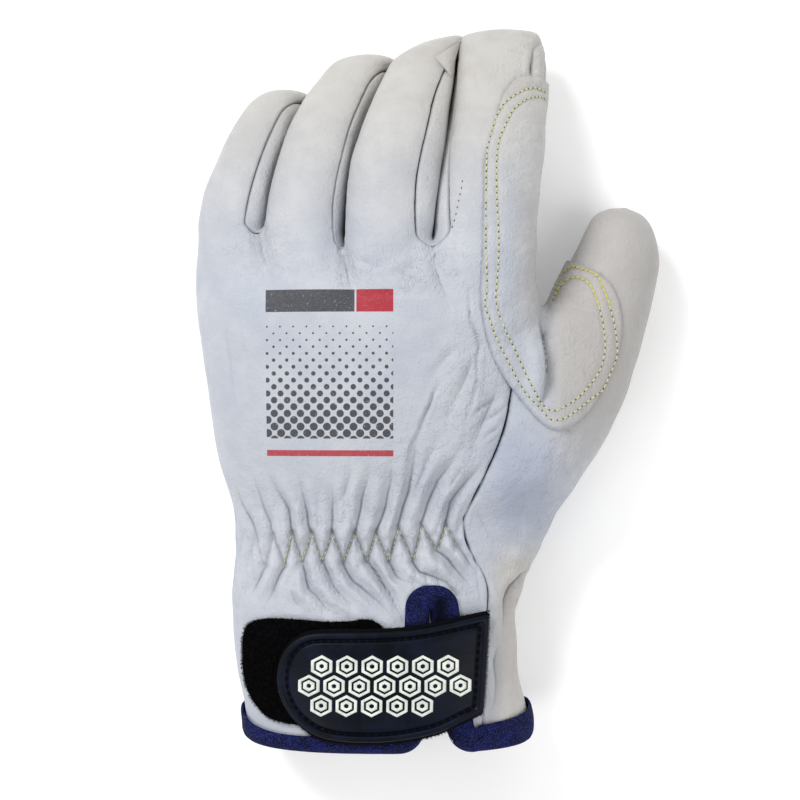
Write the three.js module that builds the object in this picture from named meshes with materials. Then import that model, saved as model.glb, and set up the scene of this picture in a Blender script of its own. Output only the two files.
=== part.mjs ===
// A left-hand leather rigger glove, lying palm down as a relaxed hand would leave it.
// Units are millimetres. +Z is up, +Y runs from the cuff to the fingertips and +X to the thumb.
// The origin is on the flat of the palm that the glove rests on.
//
// Every leather surface is a function of where it is along the hand or a finger, the angle round
// the section and an inset: inset 0 is the outer face, and a wall's thickness is its inner face.
import * as THREE from "three";

// Driving dimensions
const LEATHER = 2; // hide and its knitted backing together
const SEAM_GAP = 0.4; // between two panels at a seam
const CLEARANCE = 0.45; // between a piece and the one it lies on
const FINGER_GAP = 0.7; // between neighbouring fingers
const PRESS_SOFTNESS = 1.2; // how softly two fingers flatten on each other
const PALM_SEAM_ANGLE = 46; // degrees below a finger's side, where its side strip is sewn in
const OUTER_SEAM = 185; // degrees, the seam on the little finger's outer edge
const TIP_LENGTH = 11; // the stretch over which a fingertip closes
const SEAM_RUN_OUT = [15, 3]; // the side seams close on the tip seam between these distances from it
const WEB_DEPTH = 2.6; // how far a crotch is set back between two fingers
const PALM_WEB_SHIFT = 7; // the crotch's palm edge is this much nearer the fingertips
const ROOT = -24; // where a finger's table starts, below its knuckle

const CUFF_SLIT = { x: 11.6, apex: -65, topWidth: 3.6, hemWidth: 9.8 };
const BINDING = { width: 6.5, cloth: 1.1 };
const PATCH = { leather: 1.3, lift: 0.7 };

// Roundness of a section: 2 is an ellipse, more is squarer
const FINGER_ROUNDNESS = 2.3;
const HAND_ROUNDNESS = 2.4;

// The hand and cuff, a row for each section across the palm
const HAND = [
  { y: -112, left: -48.4, right: 42.0, crown: -4, leftSide: 20, rightSide: 20, top: 40.0, bottom: 2.1 },
  { y: -98, left: -49.6, right: 40.2, crown: -5, leftSide: 20, rightSide: 20, top: 41.5, bottom: 2.1 },
  { y: -90, left: -51.4, right: 38.4, crown: -6, leftSide: 20, rightSide: 20, top: 42.0, bottom: 0.4 },
  { y: -82, left: -52.8, right: 37.4, crown: -7, leftSide: 20, rightSide: 20, top: 42.0, bottom: -1.4 },
  { y: -72, left: -53.6, right: 36.8, crown: -8, leftSide: 20, rightSide: 20, top: 41.5, bottom: -2.0 },
  { y: -62, left: -53.8, right: 38.4, crown: -8, leftSide: 20, rightSide: 20, top: 40.5, bottom: -2.0 },
  { y: -52, left: -52.8, right: 43.0, crown: -7, leftSide: 20, rightSide: 20, top: 39.0, bottom: -2.0 },
  { y: -44, left: -52.6, right: 46.8, crown: -5, leftSide: 20, rightSide: 20, top: 38.6, bottom: -2.0 },
  { y: -34, left: -53.4, right: 50.8, crown: -3, leftSide: 21, rightSide: 21, top: 41.0, bottom: -2.0 },
  { y: -20, left: -57.6, right: 50.0, crown: 0, leftSide: 22, rightSide: 23, top: 45.5, bottom: -2.0 },
  { y: -5, left: -60.6, right: 47.0, crown: 2, leftSide: 23, rightSide: 25, top: 49.5, bottom: -2.0 },
  { y: 10, left: -62.2, right: 46.0, crown: 3, leftSide: 24, rightSide: 27, top: 52.5, bottom: -1.0 },
  { y: 25, left: -64.2, right: 45.0, crown: 4, leftSide: 25, rightSide: 30, top: 54.6, bottom: 5.0 },
  { y: 40, left: -65.4, right: 43.0, crown: 4, leftSide: 25, rightSide: 33, top: 55.2, bottom: 13.5 },
  { y: 60, left: -62.5, right: 42.0, crown: 4, leftSide: 26, rightSide: 35, top: 54.0, bottom: 24.0 },
];

// The fingers, a row for each section. "along" is the distance from the knuckle, w and h are the
// half width and half height, and roll tips the finger's back towards the thumb.
const FINGERS = {
  little: {
    crotch: { left: -1, right: 2 },
    tip: { width: 0.5, slant: 0.4 },
    rows: [
      { along: -24, x: -50.5, y: 28.0, z: 31.0, w: 13.2, h: 13.2, roll: -24, leftSeam: 0, rightSeam: 44 },
      { along: 0, x: -51.8, y: 52.0, z: 30.0, w: 12.2, h: 12.2, roll: -28, leftSeam: 0, rightSeam: 46 },
      { along: 10, x: -50.4, y: 62.0, z: 29.8, w: 11.8, h: 11.9, roll: -28, leftSeam: 0, rightSeam: 48 },
      { along: 22, x: -47.0, y: 73.6, z: 27.2, w: 11.5, h: 11.6, roll: -29, leftSeam: 0, rightSeam: 50 },
      { along: 34, x: -42.8, y: 84.0, z: 21.8, w: 11.1, h: 11.4, roll: -31, leftSeam: 0, rightSeam: 50 },
      { along: 45, x: -38.8, y: 91.6, z: 16.0, w: 10.2, h: 11.2, roll: -34, leftSeam: 0, rightSeam: 50 },
      { along: 53, x: -35.2, y: 97.0, z: 12.4, w: 8.4, h: 10.6, roll: -36, leftSeam: 0, rightSeam: 50 },
    ],
  },
  ring: {
    crotch: { left: 4, right: -4 },
    tip: { width: 0.55, slant: 0.45 },
    rows: [
      { along: -24, x: -27.0, y: 26.0, z: 37.0, w: 13.5, h: 14.5, roll: -12, leftSeam: 30, rightSeam: 30 },
      { along: 0, x: -29.0, y: 50.0, z: 36.0, w: 13.4, h: 13.4, roll: -16, leftSeam: 30, rightSeam: 34 },
      { along: 12, x: -28.6, y: 61.5, z: 35.8, w: 13.2, h: 13.0, roll: -18, leftSeam: 26, rightSeam: 34 },
      { along: 24, x: -26.0, y: 73.2, z: 33.4, w: 12.8, h: 12.8, roll: -19, leftSeam: 24, rightSeam: 38 },
      { along: 38, x: -21.6, y: 86.0, z: 27.5, w: 12.2, h: 12.4, roll: -21, leftSeam: 24, rightSeam: 42 },
      { along: 50, x: -16.8, y: 95.4, z: 21.0, w: 11.6, h: 12.0, roll: -24, leftSeam: 24, rightSeam: 46 },
      { along: 60, x: -12.4, y: 103.0, z: 15.8, w: 10.6, h: 11.6, roll: -27, leftSeam: 24, rightSeam: 48 },
      { along: 68, x: -8.6, y: 109.2, z: 12.4, w: 8.6, h: 10.8, roll: -28, leftSeam: 24, rightSeam: 48 },
    ],
  },
  middle: {
    crotch: { left: -1.5, right: 0.5 },
    tip: { width: 0.6, slant: 0.5 },
    rows: [
      { along: -24, x: -2.5, y: 24.0, z: 40.0, w: 14.0, h: 15.2, roll: -2, leftSeam: 30, rightSeam: 40 },
      { along: 0, x: -4.0, y: 47.5, z: 39.5, w: 14.2, h: 14.2, roll: -5, leftSeam: 28, rightSeam: 44 },
      { along: 12, x: -3.9, y: 59.5, z: 39.3, w: 14.3, h: 13.8, roll: -7, leftSeam: 24, rightSeam: 48 },
      { along: 24, x: -2.6, y: 71.5, z: 37.6, w: 14.2, h: 13.5, roll: -8, leftSeam: 22, rightSeam: 50 },
      { along: 38, x: 0.6, y: 84.2, z: 32.5, w: 13.6, h: 13.2, roll: -9, leftSeam: 22, rightSeam: 50 },
      { along: 52, x: 4.2, y: 96.2, z: 25.5, w: 12.2, h: 12.6, roll: -10, leftSeam: 22, rightSeam: 50 },
      { along: 64, x: 7.4, y: 106.3, z: 19.0, w: 11.0, h: 12.0, roll: -12, leftSeam: 22, rightSeam: 50 },
      { along: 76, x: 10.8, y: 116.4, z: 13.5, w: 9.0, h: 11.0, roll: -14, leftSeam: 22, rightSeam: 50 },
    ],
  },
  index: {
    crotch: { left: 1, right: -3 },
    tip: { width: 0.68, slant: 0.1 },
    rows: [
      { along: -24, x: 24.5, y: 24.0, z: 38.5, w: 16.5, h: 16.0, roll: 8, leftSeam: 44, rightSeam: 20 },
      { along: 0, x: 25.8, y: 48.0, z: 37.5, w: 16.0, h: 14.8, roll: 8, leftSeam: 42, rightSeam: 20 },
      { along: 12, x: 27.2, y: 60.0, z: 37.0, w: 15.8, h: 14.2, roll: 8, leftSeam: 36, rightSeam: 20 },
      { along: 24, x: 28.8, y: 71.5, z: 35.0, w: 15.5, h: 13.8, roll: 7, leftSeam: 24, rightSeam: 20 },
      { along: 38, x: 30.6, y: 84.5, z: 30.2, w: 15.3, h: 13.2, roll: 6, leftSeam: 18, rightSeam: 20 },
      { along: 52, x: 31.9, y: 97.0, z: 23.8, w: 15.2, h: 12.6, roll: 4, leftSeam: 16, rightSeam: 20 },
      { along: 64, x: 32.5, y: 107.5, z: 17.5, w: 15.0, h: 12.2, roll: 2, leftSeam: 16, rightSeam: 20 },
      { along: 76, x: 33.0, y: 118.8, z: 13.0, w: 13.6, h: 11.0, roll: 0, leftSeam: 16, rightSeam: 20 },
    ],
  },
};
const FINGER_ORDER = ["little", "ring", "middle", "index"];

// The thumb, a row for each section square to its own line. yaw turns that line towards +X. The
// first rows leave the hand at the seams' own places, topSeam and bottomSeam, given by their y.
const THUMB = [
  { x: 33, y: -23, z: 20.0, w: 26.5, h: 23.5, yaw: 6, from: 107, to: -105, topSeam: -24, bottomSeam: -26 },
  { x: 42, y: -5, z: 19.5, w: 27.5, h: 22.0, yaw: 14, from: 122, to: -118, topSeam: -6, bottomSeam: -10 },
  { x: 51.5, y: 9.5, z: 18.5, w: 23.4, h: 19.0, yaw: 19, from: 150, to: -140, topSeam: 14, bottomSeam: 10 },
  { x: 60.8, y: 22.5, z: 17.0, w: 17.9, h: 17.2, yaw: 20, from: 172, to: -170, topSeam: 25.4, bottomSeam: 24.8 },
  { x: 66.6, y: 36, z: 15.6, w: 15.6, h: 15.8, yaw: 18, from: 178, to: -178 },
  { x: 70.4, y: 47, z: 14.6, w: 14.2, h: 14.8, yaw: 14, from: 178, to: -178 },
  { x: 71.6, y: 55, z: 13.6, w: 12.0, h: 13.0, yaw: 10, from: 178, to: -178 },
  { x: 72.0, y: 62.2, z: 12.2, w: 9.0, h: 11.0, yaw: 8, from: 178, to: -178 },
];
const THUMB_ROOT = -36; // the thumb panel follows the hand's own section up to here

// Where the back panel ends on the thumb side: a line over the hand up to the thumb, by its x
const THUMB_SEAM = [
  { y: -112, x: 26.0 },
  { y: -100, x: 26.2 },
  { y: -68, x: 27.4 },
  { y: -59, x: 26.3 },
  { y: -50, x: 20.0 },
  { y: -40, x: 18.4 },
  { y: -29, x: 21.5 },
  { y: -9, x: 29.2 },
  { y: 7, x: 34.5 },
];
// and above it, where it turns down to the thumb crotch and back up on to the forefinger, by angle
const CROTCH_SEAM = [
  { y: 7, back: 55, palm: -42 },
  { y: 17, back: 34, palm: -24 },
  { y: 27, back: 2, palm: -2 },
  { y: 37, back: 28, palm: 28 },
  { y: 48, back: 48, palm: 48 },
];
// The palm panel's edge below the thumb, by angle
const PALM_SEAM = [
  { y: -112, angle: -58 },
  { y: -60, angle: -60 },
  { y: -30, angle: -62 },
  { y: -10, angle: -54 },
  { y: 7, angle: -42 },
];

// The hem, a dip below a straight line across the cuff: the back of the cuff is cut longest
const HEM = { middle: -109.8, side: -105.5, palm: -103 };

// Curves through tables
const radians = THREE.MathUtils.degToRad;
const mix = THREE.MathUtils.lerp;
const smooth = (x, from, to) => THREE.MathUtils.smoothstep(x, from, to);
const vector = (x, y, z) => new THREE.Vector3(x, y, z);

// The value of a table's column at a place between its rows, on a smooth curve through them
function sample(rows, key, column, at) {
  const last = rows.length - 1;
  let i = 0;
  while (i < last - 1 && at > rows[i + 1][key]) i += 1;
  const slope = (j) => {
    const a = rows[Math.max(j - 1, 0)];
    const b = rows[Math.min(j + 1, last)];
    return (b[column] - a[column]) / (b[key] - a[key]);
  };
  const [a, b] = [rows[i], rows[i + 1]];
  const span = b[key] - a[key];
  const t = THREE.MathUtils.clamp((at - a[key]) / span, 0, 1);
  const [t2, t3] = [t * t, t * t * t];
  return (
    (2 * t3 - 3 * t2 + 1) * a[column] +
    (t3 - 2 * t2 + t) * span * slope(i) +
    (3 * t2 - 2 * t3) * b[column] +
    (t3 - t2) * span * slope(i + 1)
  );
}

const signedPower = (value, power) => Math.sign(value) * Math.abs(value) ** power;

// The hand's closed section at y. Angle 0 is the thumb side and 90 the back of the hand. side is 1
// for the back panel and -1 for the palm, which lie half a seam apart.
function handPoint(y, angle, inset = 0, side = 0) {
  const row = (column) => sample(HAND, "y", column, y);
  const [c, s] = [Math.cos(radians(angle)), Math.sin(radians(angle))];
  const crown = row("crown");
  const sideHeight = row(c > 0 ? "rightSide" : "leftSide");
  const halfWidth = (c > 0 ? row("right") - crown : crown - row("left")) - inset;
  const halfHeight = (s > 0 ? row("top") - sideHeight : sideHeight - row("bottom")) - inset;
  const power = 2 / HAND_ROUNDNESS;
  const x = crown + halfWidth * signedPower(c, power);
  const z = sideHeight + halfHeight * signedPower(s, power) + (side * SEAM_GAP) / 2;
  return vector(x, y, Math.max(z, inset));
}

// The angle on the hand's section that lies at x on the back
function angleAt(y, x) {
  const row = (column) => sample(HAND, "y", column, y);
  const crown = row("crown");
  const halfWidth = x > crown ? row("right") - crown : crown - row("left");
  const reach = THREE.MathUtils.clamp((x - crown) / halfWidth, -1, 1);
  return THREE.MathUtils.radToDeg(Math.acos(signedPower(reach, HAND_ROUNDNESS / 2)));
}

const fingerLength = (name) => FINGERS[name].rows.at(-1).along;

function fingerCentre(name, along) {
  const row = (column) => sample(FINGERS[name].rows, "along", column, along);
  return vector(row("x"), row("y"), row("z"));
}

// A finger's middle and half width at the place along it that lies at y, or null past its tip
function fingerAt(name, y) {
  let [low, high] = [ROOT, fingerLength(name)];
  if (y > fingerCentre(name, high).y) return null;
  for (let i = 0; i < 24; i += 1) {
    const middle = (low + high) / 2;
    if (fingerCentre(name, middle).y < y) low = middle;
    else high = middle;
  }
  return { centre: fingerCentre(name, low), w: sample(FINGERS[name].rows, "along", "w", low) };
}

// Moves a finger's point back to its own side of the plane where it meets its neighbour
function pressApart(name, neighbour, point, inset) {
  const [own, other] = [fingerAt(name, point.y), fingerAt(neighbour, point.y)];
  if (!own || !other) return;
  const across = other.centre.clone().sub(own.centre).setY(0);
  const meeting = own.centre.clone().addScaledVector(across, own.w / (own.w + other.w));
  across.normalize();
  const past = point.clone().sub(meeting).setY(0).dot(across) + FINGER_GAP / 2 + inset;
  const softened = -(Math.hypot(past, PRESS_SOFTNESS) - past) / 2;
  point.addScaledVector(across, softened - past);
}

// A point on a finger. Angle 0 is its thumb side and 90 its back.
function fingerPoint(name, along, angle, inset = 0, side = 0) {
  const length = fingerLength(name) - inset;
  const place = Math.min(along, length);
  const row = (column) => sample(FINGERS[name].rows, "along", column, place);
  const centre = fingerCentre(name, place);
  const line = fingerCentre(name, place + 0.5).sub(fingerCentre(name, place - 0.5)).normalize();
  const up = vector(0, 0, 1).addScaledVector(line, -line.z).normalize();
  const across = line.clone().cross(up);
  const roll = radians(row("roll"));
  const back = up.clone().multiplyScalar(Math.cos(roll)).addScaledVector(across, Math.sin(roll));
  const lateral = line.clone().cross(back);
  const { tip } = FINGERS[name];
  const open = THREE.MathUtils.clamp((length - place) / TIP_LENGTH, 0, 1);
  const widthShare = mix(tip.width, 1, (1 - (1 - open) ** 3) ** (1 / 3));
  const heightShare = mix(0.02, 1, Math.sqrt(1 - (1 - open) ** 2));
  const power = 2 / FINGER_ROUNDNESS;
  const [c, s] = [Math.cos(radians(angle)), Math.sin(radians(angle))];
  const sideways = (row("w") - inset) * widthShare * signedPower(c, power);
  const point = centre
    .addScaledVector(lateral, sideways)
    .addScaledVector(line, sideways * tip.slant * smooth(place, length - 22, length))
    .addScaledVector(back, (row("h") - inset) * heightShare * signedPower(s, power))
    .addScaledVector(back, (side * SEAM_GAP) / 2);
  const order = FINGER_ORDER.indexOf(name);
  if (along > 0) {
    if (order > 0) pressApart(name, FINGER_ORDER[order - 1], point, inset);
    if (order < 3) pressApart(name, FINGER_ORDER[order + 1], point, inset);
  }
  point.z = Math.max(point.z, inset);
  return point;
}

// How far from a finger's side its seam lies: the seams close on the one round the tip
function seamAngle(name, along, column) {
  const left = fingerLength(name) - along;
  const full = column === "palm" ? PALM_SEAM_ANGLE : sample(FINGERS[name].rows, "along", column, along);
  return full * smooth(left, SEAM_RUN_OUT[1], SEAM_RUN_OUT[0]);
}

// Half a seam's gap as an angle on a finger
const GAP_ANGLE = THREE.MathUtils.radToDeg(SEAM_GAP / 2 / 13);

// A crotch between two fingers: share runs from its back edge, 0, to its palm edge, 1
function crotchStart(name, where, share) {
  return FINGERS[name].crotch[where] + PALM_WEB_SHIFT * share;
}

function crotchPoint(gap, share, inset = 0, setBack = 0) {
  const [a, b] = [FINGER_ORDER[gap], FINGER_ORDER[gap + 1]];
  const [alongA, alongB] = [crotchStart(a, "right", share), crotchStart(b, "left", share)];
  const angleA = mix(seamAngle(a, alongA, "rightSeam"), -PALM_SEAM_ANGLE, share);
  const angleB = mix(seamAngle(b, alongB, "leftSeam"), -PALM_SEAM_ANGLE, share);
  const from = fingerPoint(a, Math.max(alongA, 0.01), angleA, inset);
  const to = fingerPoint(b, Math.max(alongB, 0.01), 180 - angleB, inset);
  const point = from.add(to).multiplyScalar(0.5);
  point.y -= WEB_DEPTH + inset + setBack;
  return point;
}

// The seams on the hand
function backEdge(y) {
  const turn = CROTCH_SEAM[0].y;
  if (y <= turn) return angleAt(y, sample(THUMB_SEAM, "y", "x", y));
  const start = angleAt(turn, sample(THUMB_SEAM, "y", "x", turn));
  const own = sample(CROTCH_SEAM, "y", "back", y);
  return own + (start - CROTCH_SEAM[0].back) * (1 - smooth(y, turn, turn + 10));
}

function palmEdge(y) {
  const turn = CROTCH_SEAM[0].y;
  return y <= turn ? sample(PALM_SEAM, "y", "angle", y) : sample(CROTCH_SEAM, "y", "palm", y);
}

function hemY(angle) {
  const s = Math.sin(radians(angle));
  return s > 0 ? mix(HEM.side, HEM.middle, Math.sqrt(s)) : mix(HEM.side, HEM.palm, Math.abs(s));
}

// count + 1 angles on the hand's section at y, evenly spaced along its outline
function spacedAngles(y, from, to, count) {
  const steps = 60;
  const reach = [0];
  let before = handPoint(y, from);
  for (let i = 1; i <= steps; i += 1) {
    const here = handPoint(y, mix(from, to, i / steps));
    reach.push(reach[i - 1] + here.distanceTo(before));
    before = here;
  }
  return Array.from({ length: count + 1 }, (_, k) => {
    const want = (reach[steps] * k) / count;
    let i = 1;
    while (i < steps && reach[i] < want) i += 1;
    const part = (want - reach[i - 1]) / (reach[i] - reach[i - 1]);
    return mix(from, to, (i - 1 + part) / steps);
  });
}

// An open sheet of quads, and the closed wall between two such sheets
class Sheet {
  constructor() {
    this.keys = new Map();
    this.points = [];
    this.inner = [];
    this.faces = [];
  }

  corner(outer, inner) {
    const key = outer.toArray().map((v) => v.toFixed(3)).join(" ");
    if (!this.keys.has(key)) {
      this.keys.set(key, this.points.length);
      this.points.push(outer);
      this.inner.push(inner);
    }
    return this.keys.get(key);
  }

  // rows of [outer, inner] pairs
  grid(rows, skip = () => false) {
    const ids = rows.map((row) => row.map(([outer, inner]) => this.corner(outer, inner)));
    for (let r = 0; r + 1 < ids.length; r += 1) {
      for (let c = 0; c + 1 < ids[r].length; c += 1) {
        if (skip(r, c)) continue;
        const [a, b, d, e] = [ids[r][c], ids[r][c + 1], ids[r + 1][c + 1], ids[r + 1][c]];
        if (a !== b && b !== d && a !== d) this.faces.push([a, b, d]);
        if (a !== d && d !== e && a !== e) this.faces.push([a, d, e]);
      }
    }
    return this;
  }

  wall() {
    const offset = this.points.length;
    const faces = this.faces.slice();
    const edges = new Set(this.faces.flatMap(([a, b, c]) => [`${a} ${b}`, `${b} ${c}`, `${c} ${a}`]));
    for (const [a, b, c] of this.faces) faces.push([c + offset, b + offset, a + offset]);
    for (const edge of edges) {
      const [a, b] = edge.split(" ").map(Number);
      if (edges.has(`${b} ${a}`)) continue;
      faces.push([b, a, a + offset], [b, a + offset, b + offset]);
    }
    return closedGeometry([...this.points, ...this.inner], faces);
  }
}

// Faces turned so that they point out
function closedGeometry(points, faces) {
  let volume = 0;
  for (const [a, b, c] of faces) volume += points[a].dot(points[b].clone().cross(points[c]));
  const turned = volume < 0 ? faces.map(([a, b, c]) => [a, c, b]) : faces;
  const geometry = new THREE.BufferGeometry().setFromPoints(points);
  geometry.setIndex(turned.flat());
  geometry.computeVertexNormals();
  return geometry;
}

const wallPair = (place) => [place(0), place(LEATHER)];

// Evens out the rows of a grid from one row on, leaving its edges where they are
function relax(rows, from, passes) {
  for (let pass = 0; pass < passes; pass += 1) {
    const before = rows.map((row) => row.map((pair) => pair.map((point) => point.clone())));
    for (let r = from; r + 1 < rows.length; r += 1) {
      for (let c = 1; c + 1 < rows[r].length; c += 1) {
        for (const layer of [0, 1]) {
          const around = vector(0, 0, 0)
            .add(before[r - 1][c][layer])
            .add(before[r + 1][c][layer])
            .add(before[r][c - 1][layer])
            .add(before[r][c + 1][layer]);
          rows[r][c][layer].lerp(around.multiplyScalar(0.25), 0.5);
        }
      }
    }
  }
}

// Places along a finger from its crotch to its tip, closer together over the tip
const FINGER_STEPS = [0, 0.04, 0.14, 0.27, 0.4, 0.53, 0.66, 0.78, 0.87, 0.94, 0.98, 1];

// The hand rows of a panel: up to the top of the cuff's slit, and from there to the crotches
const CUFF_STEPS = 5;
const HAND_STEPS = 19;
const BLEND_START = 22;

// Columns across each finger, on the back and on the palm side
const COLUMNS = {
  back: { little: 7, ring: 5, middle: 5, index: 6 },
  palm: { little: 7, ring: 5, middle: 5, index: 9 },
};

// The span of angles that a panel covers on a finger, from its outer edge to its thumb edge
function fingerSpan(panel, name, along) {
  const seam = (column) => seamAngle(name, along, column) + GAP_ANGLE;
  const outerSeam = mix(180, OUTER_SEAM, seam("palm") / PALM_SEAM_ANGLE);
  if (panel === "back") {
    return [name === "little" ? outerSeam : 180 - seam("leftSeam"), seam("rightSeam")];
  }
  const outer = name === "little" ? outerSeam - 360 : -180 + seam("palm");
  return [outer, name === "index" ? seam("rightSeam") - 2 * GAP_ANGLE : -seam("palm")];
}

// Where a finger's column starts, between its two crotches
function columnStart(panel, name, share) {
  const web = panel === "palm" ? 1 : 0;
  const left = crotchStart(name, "left", name === "little" ? 0.5 : web);
  const right = crotchStart(name, "right", name === "index" ? 0 : web);
  return mix(left, right, share);
}

// One point of a panel's finger part. step 0 is the row that it shares with the hand part.
function panelFingerPoint(panel, name, column, step, inset) {
  const count = COLUMNS[panel][name];
  const order = FINGER_ORDER.indexOf(name);
  const side = panel === "back" ? 1 : -1;
  const web = panel === "palm" ? 1 : 0;
  if (step === 0 && column === 0 && order > 0) return crotchPoint(order - 1, web, inset, SEAM_GAP);
  if (step === 0 && column === count && order < 3) return crotchPoint(order, web, inset, SEAM_GAP);
  const share = column / count;
  const start = columnStart(panel, name, share);
  const along = mix(start, fingerLength(name), step);
  const [outer, inner] = fingerSpan(panel, name, along);
  return fingerPoint(name, along, mix(outer, inner, share), inset, side);
}

// The cuff's slit: its two edges by x, and how far a row is lined up with them
const slitEdge = (y, which) => {
  const down = THREE.MathUtils.clamp((CUFF_SLIT.apex - y) / (CUFF_SLIT.apex - HEM.middle), 0, 1);
  return CUFF_SLIT.x + (which * mix(CUFF_SLIT.topWidth, CUFF_SLIT.hemWidth, down)) / 2;
};

// The angles of a row's columns on the back of the hand, with two of them on the slit's edges
function backAngles(y, total, slitColumn) {
  const even = spacedAngles(y, OUTER_SEAM, backEdge(y), total);
  const share = 1 - smooth(y, CUFF_SLIT.apex, CUFF_SLIT.apex + 30);
  if (share === 0) return even;
  const left = spacedAngles(y, OUTER_SEAM, angleAt(y, slitEdge(y, -1)), slitColumn);
  const right = spacedAngles(y, angleAt(y, slitEdge(y, 1)), backEdge(y), total - slitColumn - 1);
  return even.map((angle, c) => mix(angle, [...left, ...right][c], share));
}

// The comb-shaped sheet of the back or the palm: one hand part and four finger parts
function combSheet(panel) {
  const side = panel === "back" ? 1 : -1;
  const columns = FINGER_ORDER.flatMap((name) => {
    const count = COLUMNS[panel][name];
    const first = name === "little" ? 0 : 1;
    return Array.from({ length: count + 1 - first }, (_, i) => ({ name, column: i + first }));
  });
  const total = columns.length - 1;
  const slitColumn = 14;
  const knuckles = [0, LEATHER].map((inset) =>
    columns.map(({ name, column }) => panelFingerPoint(panel, name, column, 0, inset)),
  );
  const anglesAt = (y) =>
    panel === "back"
      ? backAngles(y, total, slitColumn)
      : spacedAngles(y, OUTER_SEAM - 360, palmEdge(y), total);

  const handRow = (r) =>
    columns.map(({ name, column }, c) => {
      const top = knuckles[0][c];
      const inCuff = r <= CUFF_STEPS;
      const rise = inCuff ? r / CUFF_STEPS : (r - CUFF_STEPS) / HAND_STEPS;
      let y = CUFF_SLIT.apex;
      let angle = 0;
      for (let pass = 0; pass < 3; pass += 1) {
        angle = anglesAt(y)[c];
        y = inCuff ? mix(hemY(angle), CUFF_SLIT.apex, rise) : mix(CUFF_SLIT.apex, top.y, rise);
      }
      const blend = smooth(y, BLEND_START, top.y);
      return [0, LEATHER].map((inset, layer) => {
        const onHand = handPoint(y, angle, inset, side);
        if (blend === 0) return onHand;
        if (rise === 1) return knuckles[layer][c].clone();
        const share = column / COLUMNS[panel][name];
        const climb = (y - BLEND_START) / (top.y - BLEND_START);
        const along = mix(ROOT, columnStart(panel, name, share), climb);
        const [outer, inner] = fingerSpan(panel, name, along);
        const onFinger = fingerPoint(name, along, mix(outer, inner, share), inset, side);
        return onHand.lerp(onFinger.setY(mix(onFinger.y, y, 0.5)), blend);
      });
    });

  const sheet = new Sheet();
  const rows = Array.from({ length: CUFF_STEPS + HAND_STEPS + 1 }, (_, r) => handRow(r));
  relax(rows, CUFF_STEPS + 12, 5);
  sheet.grid(rows, (r, c) => panel === "back" && r < CUFF_STEPS && c === slitColumn);
  for (const name of FINGER_ORDER) {
    const count = COLUMNS[panel][name];
    sheet.grid(
      FINGER_STEPS.map((step) =>
        Array.from({ length: count + 1 }, (_, column) =>
          wallPair((inset) => panelFingerPoint(panel, name, column, step, inset)),
        ),
      ),
    );
  }
  return sheet;
}

// The strip between two fingers: up one finger, round the crotch and up the next
function sideStrip(gap) {
  const across = 4;
  const [a, b] = [FINGER_ORDER[gap], FINGER_ORDER[gap + 1]];
  const steps = FINGER_STEPS.filter((step) => step > 0 && step < 0.97);
  const armRow = (name, where, step) =>
    Array.from({ length: across + 1 }, (_, i) => {
      const share = i / across;
      const along = mix(crotchStart(name, where, share), fingerLength(name), step);
      const top = seamAngle(name, along, where === "right" ? "rightSeam" : "leftSeam") - 2 * GAP_ANGLE;
      const bottom = seamAngle(name, along, "palm") - 2.8 * GAP_ANGLE;
      const angle = mix(Math.max(top, 1), -Math.max(bottom, 1), share);
      return wallPair((inset) => fingerPoint(name, along, where === "right" ? angle : 180 - angle, inset));
    });
  const webRow = Array.from({ length: across + 1 }, (_, i) =>
    wallPair((inset) => crotchPoint(gap, mix(0.01, 0.97, i / across), inset, -SEAM_GAP / 2)),
  );
  return new Sheet()
    .grid([
      ...steps.toReversed().map((step) => armRow(a, "right", step)),
      webRow,
      ...steps.map((step) => armRow(b, "left", step)),
    ])
    .wall();
}

// Resamples a line of points evenly to count + 1 points
function evenly(points, count) {
  const curve = new THREE.CatmullRomCurve3(points, false, "centripetal");
  curve.arcLengthDivisions = 80;
  return curve.getSpacedPoints(count);
}

// The thumb panel's key rows, each from the back seam round the thumb side to the palm seam
const THUMB_COLUMNS = 12;
const thumbGap = (y) => mix(1.4, 2.6, smooth(y, -5, 12)); // degrees on either side of its seams

function thumbHandRow(step, inset) {
  const count = 24;
  const spread = Array.from({ length: count + 1 }, (_, i) => {
    const share = i / count;
    let y = THUMB_ROOT;
    let angle = 0;
    for (let pass = 0; pass < 3; pass += 1) {
      angle = mix(backEdge(y) - thumbGap(y), palmEdge(y) + thumbGap(y), share);
      y = mix(hemY(angle), THUMB_ROOT, step);
    }
    return handPoint(y, angle, inset);
  });
  return evenly(spread, THUMB_COLUMNS);
}

function thumbSeamPoint(y, which, inset) {
  const angle = which === "top" ? backEdge(y) - thumbGap(y) : palmEdge(y) + thumbGap(y);
  return handPoint(y, angle, inset);
}

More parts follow.
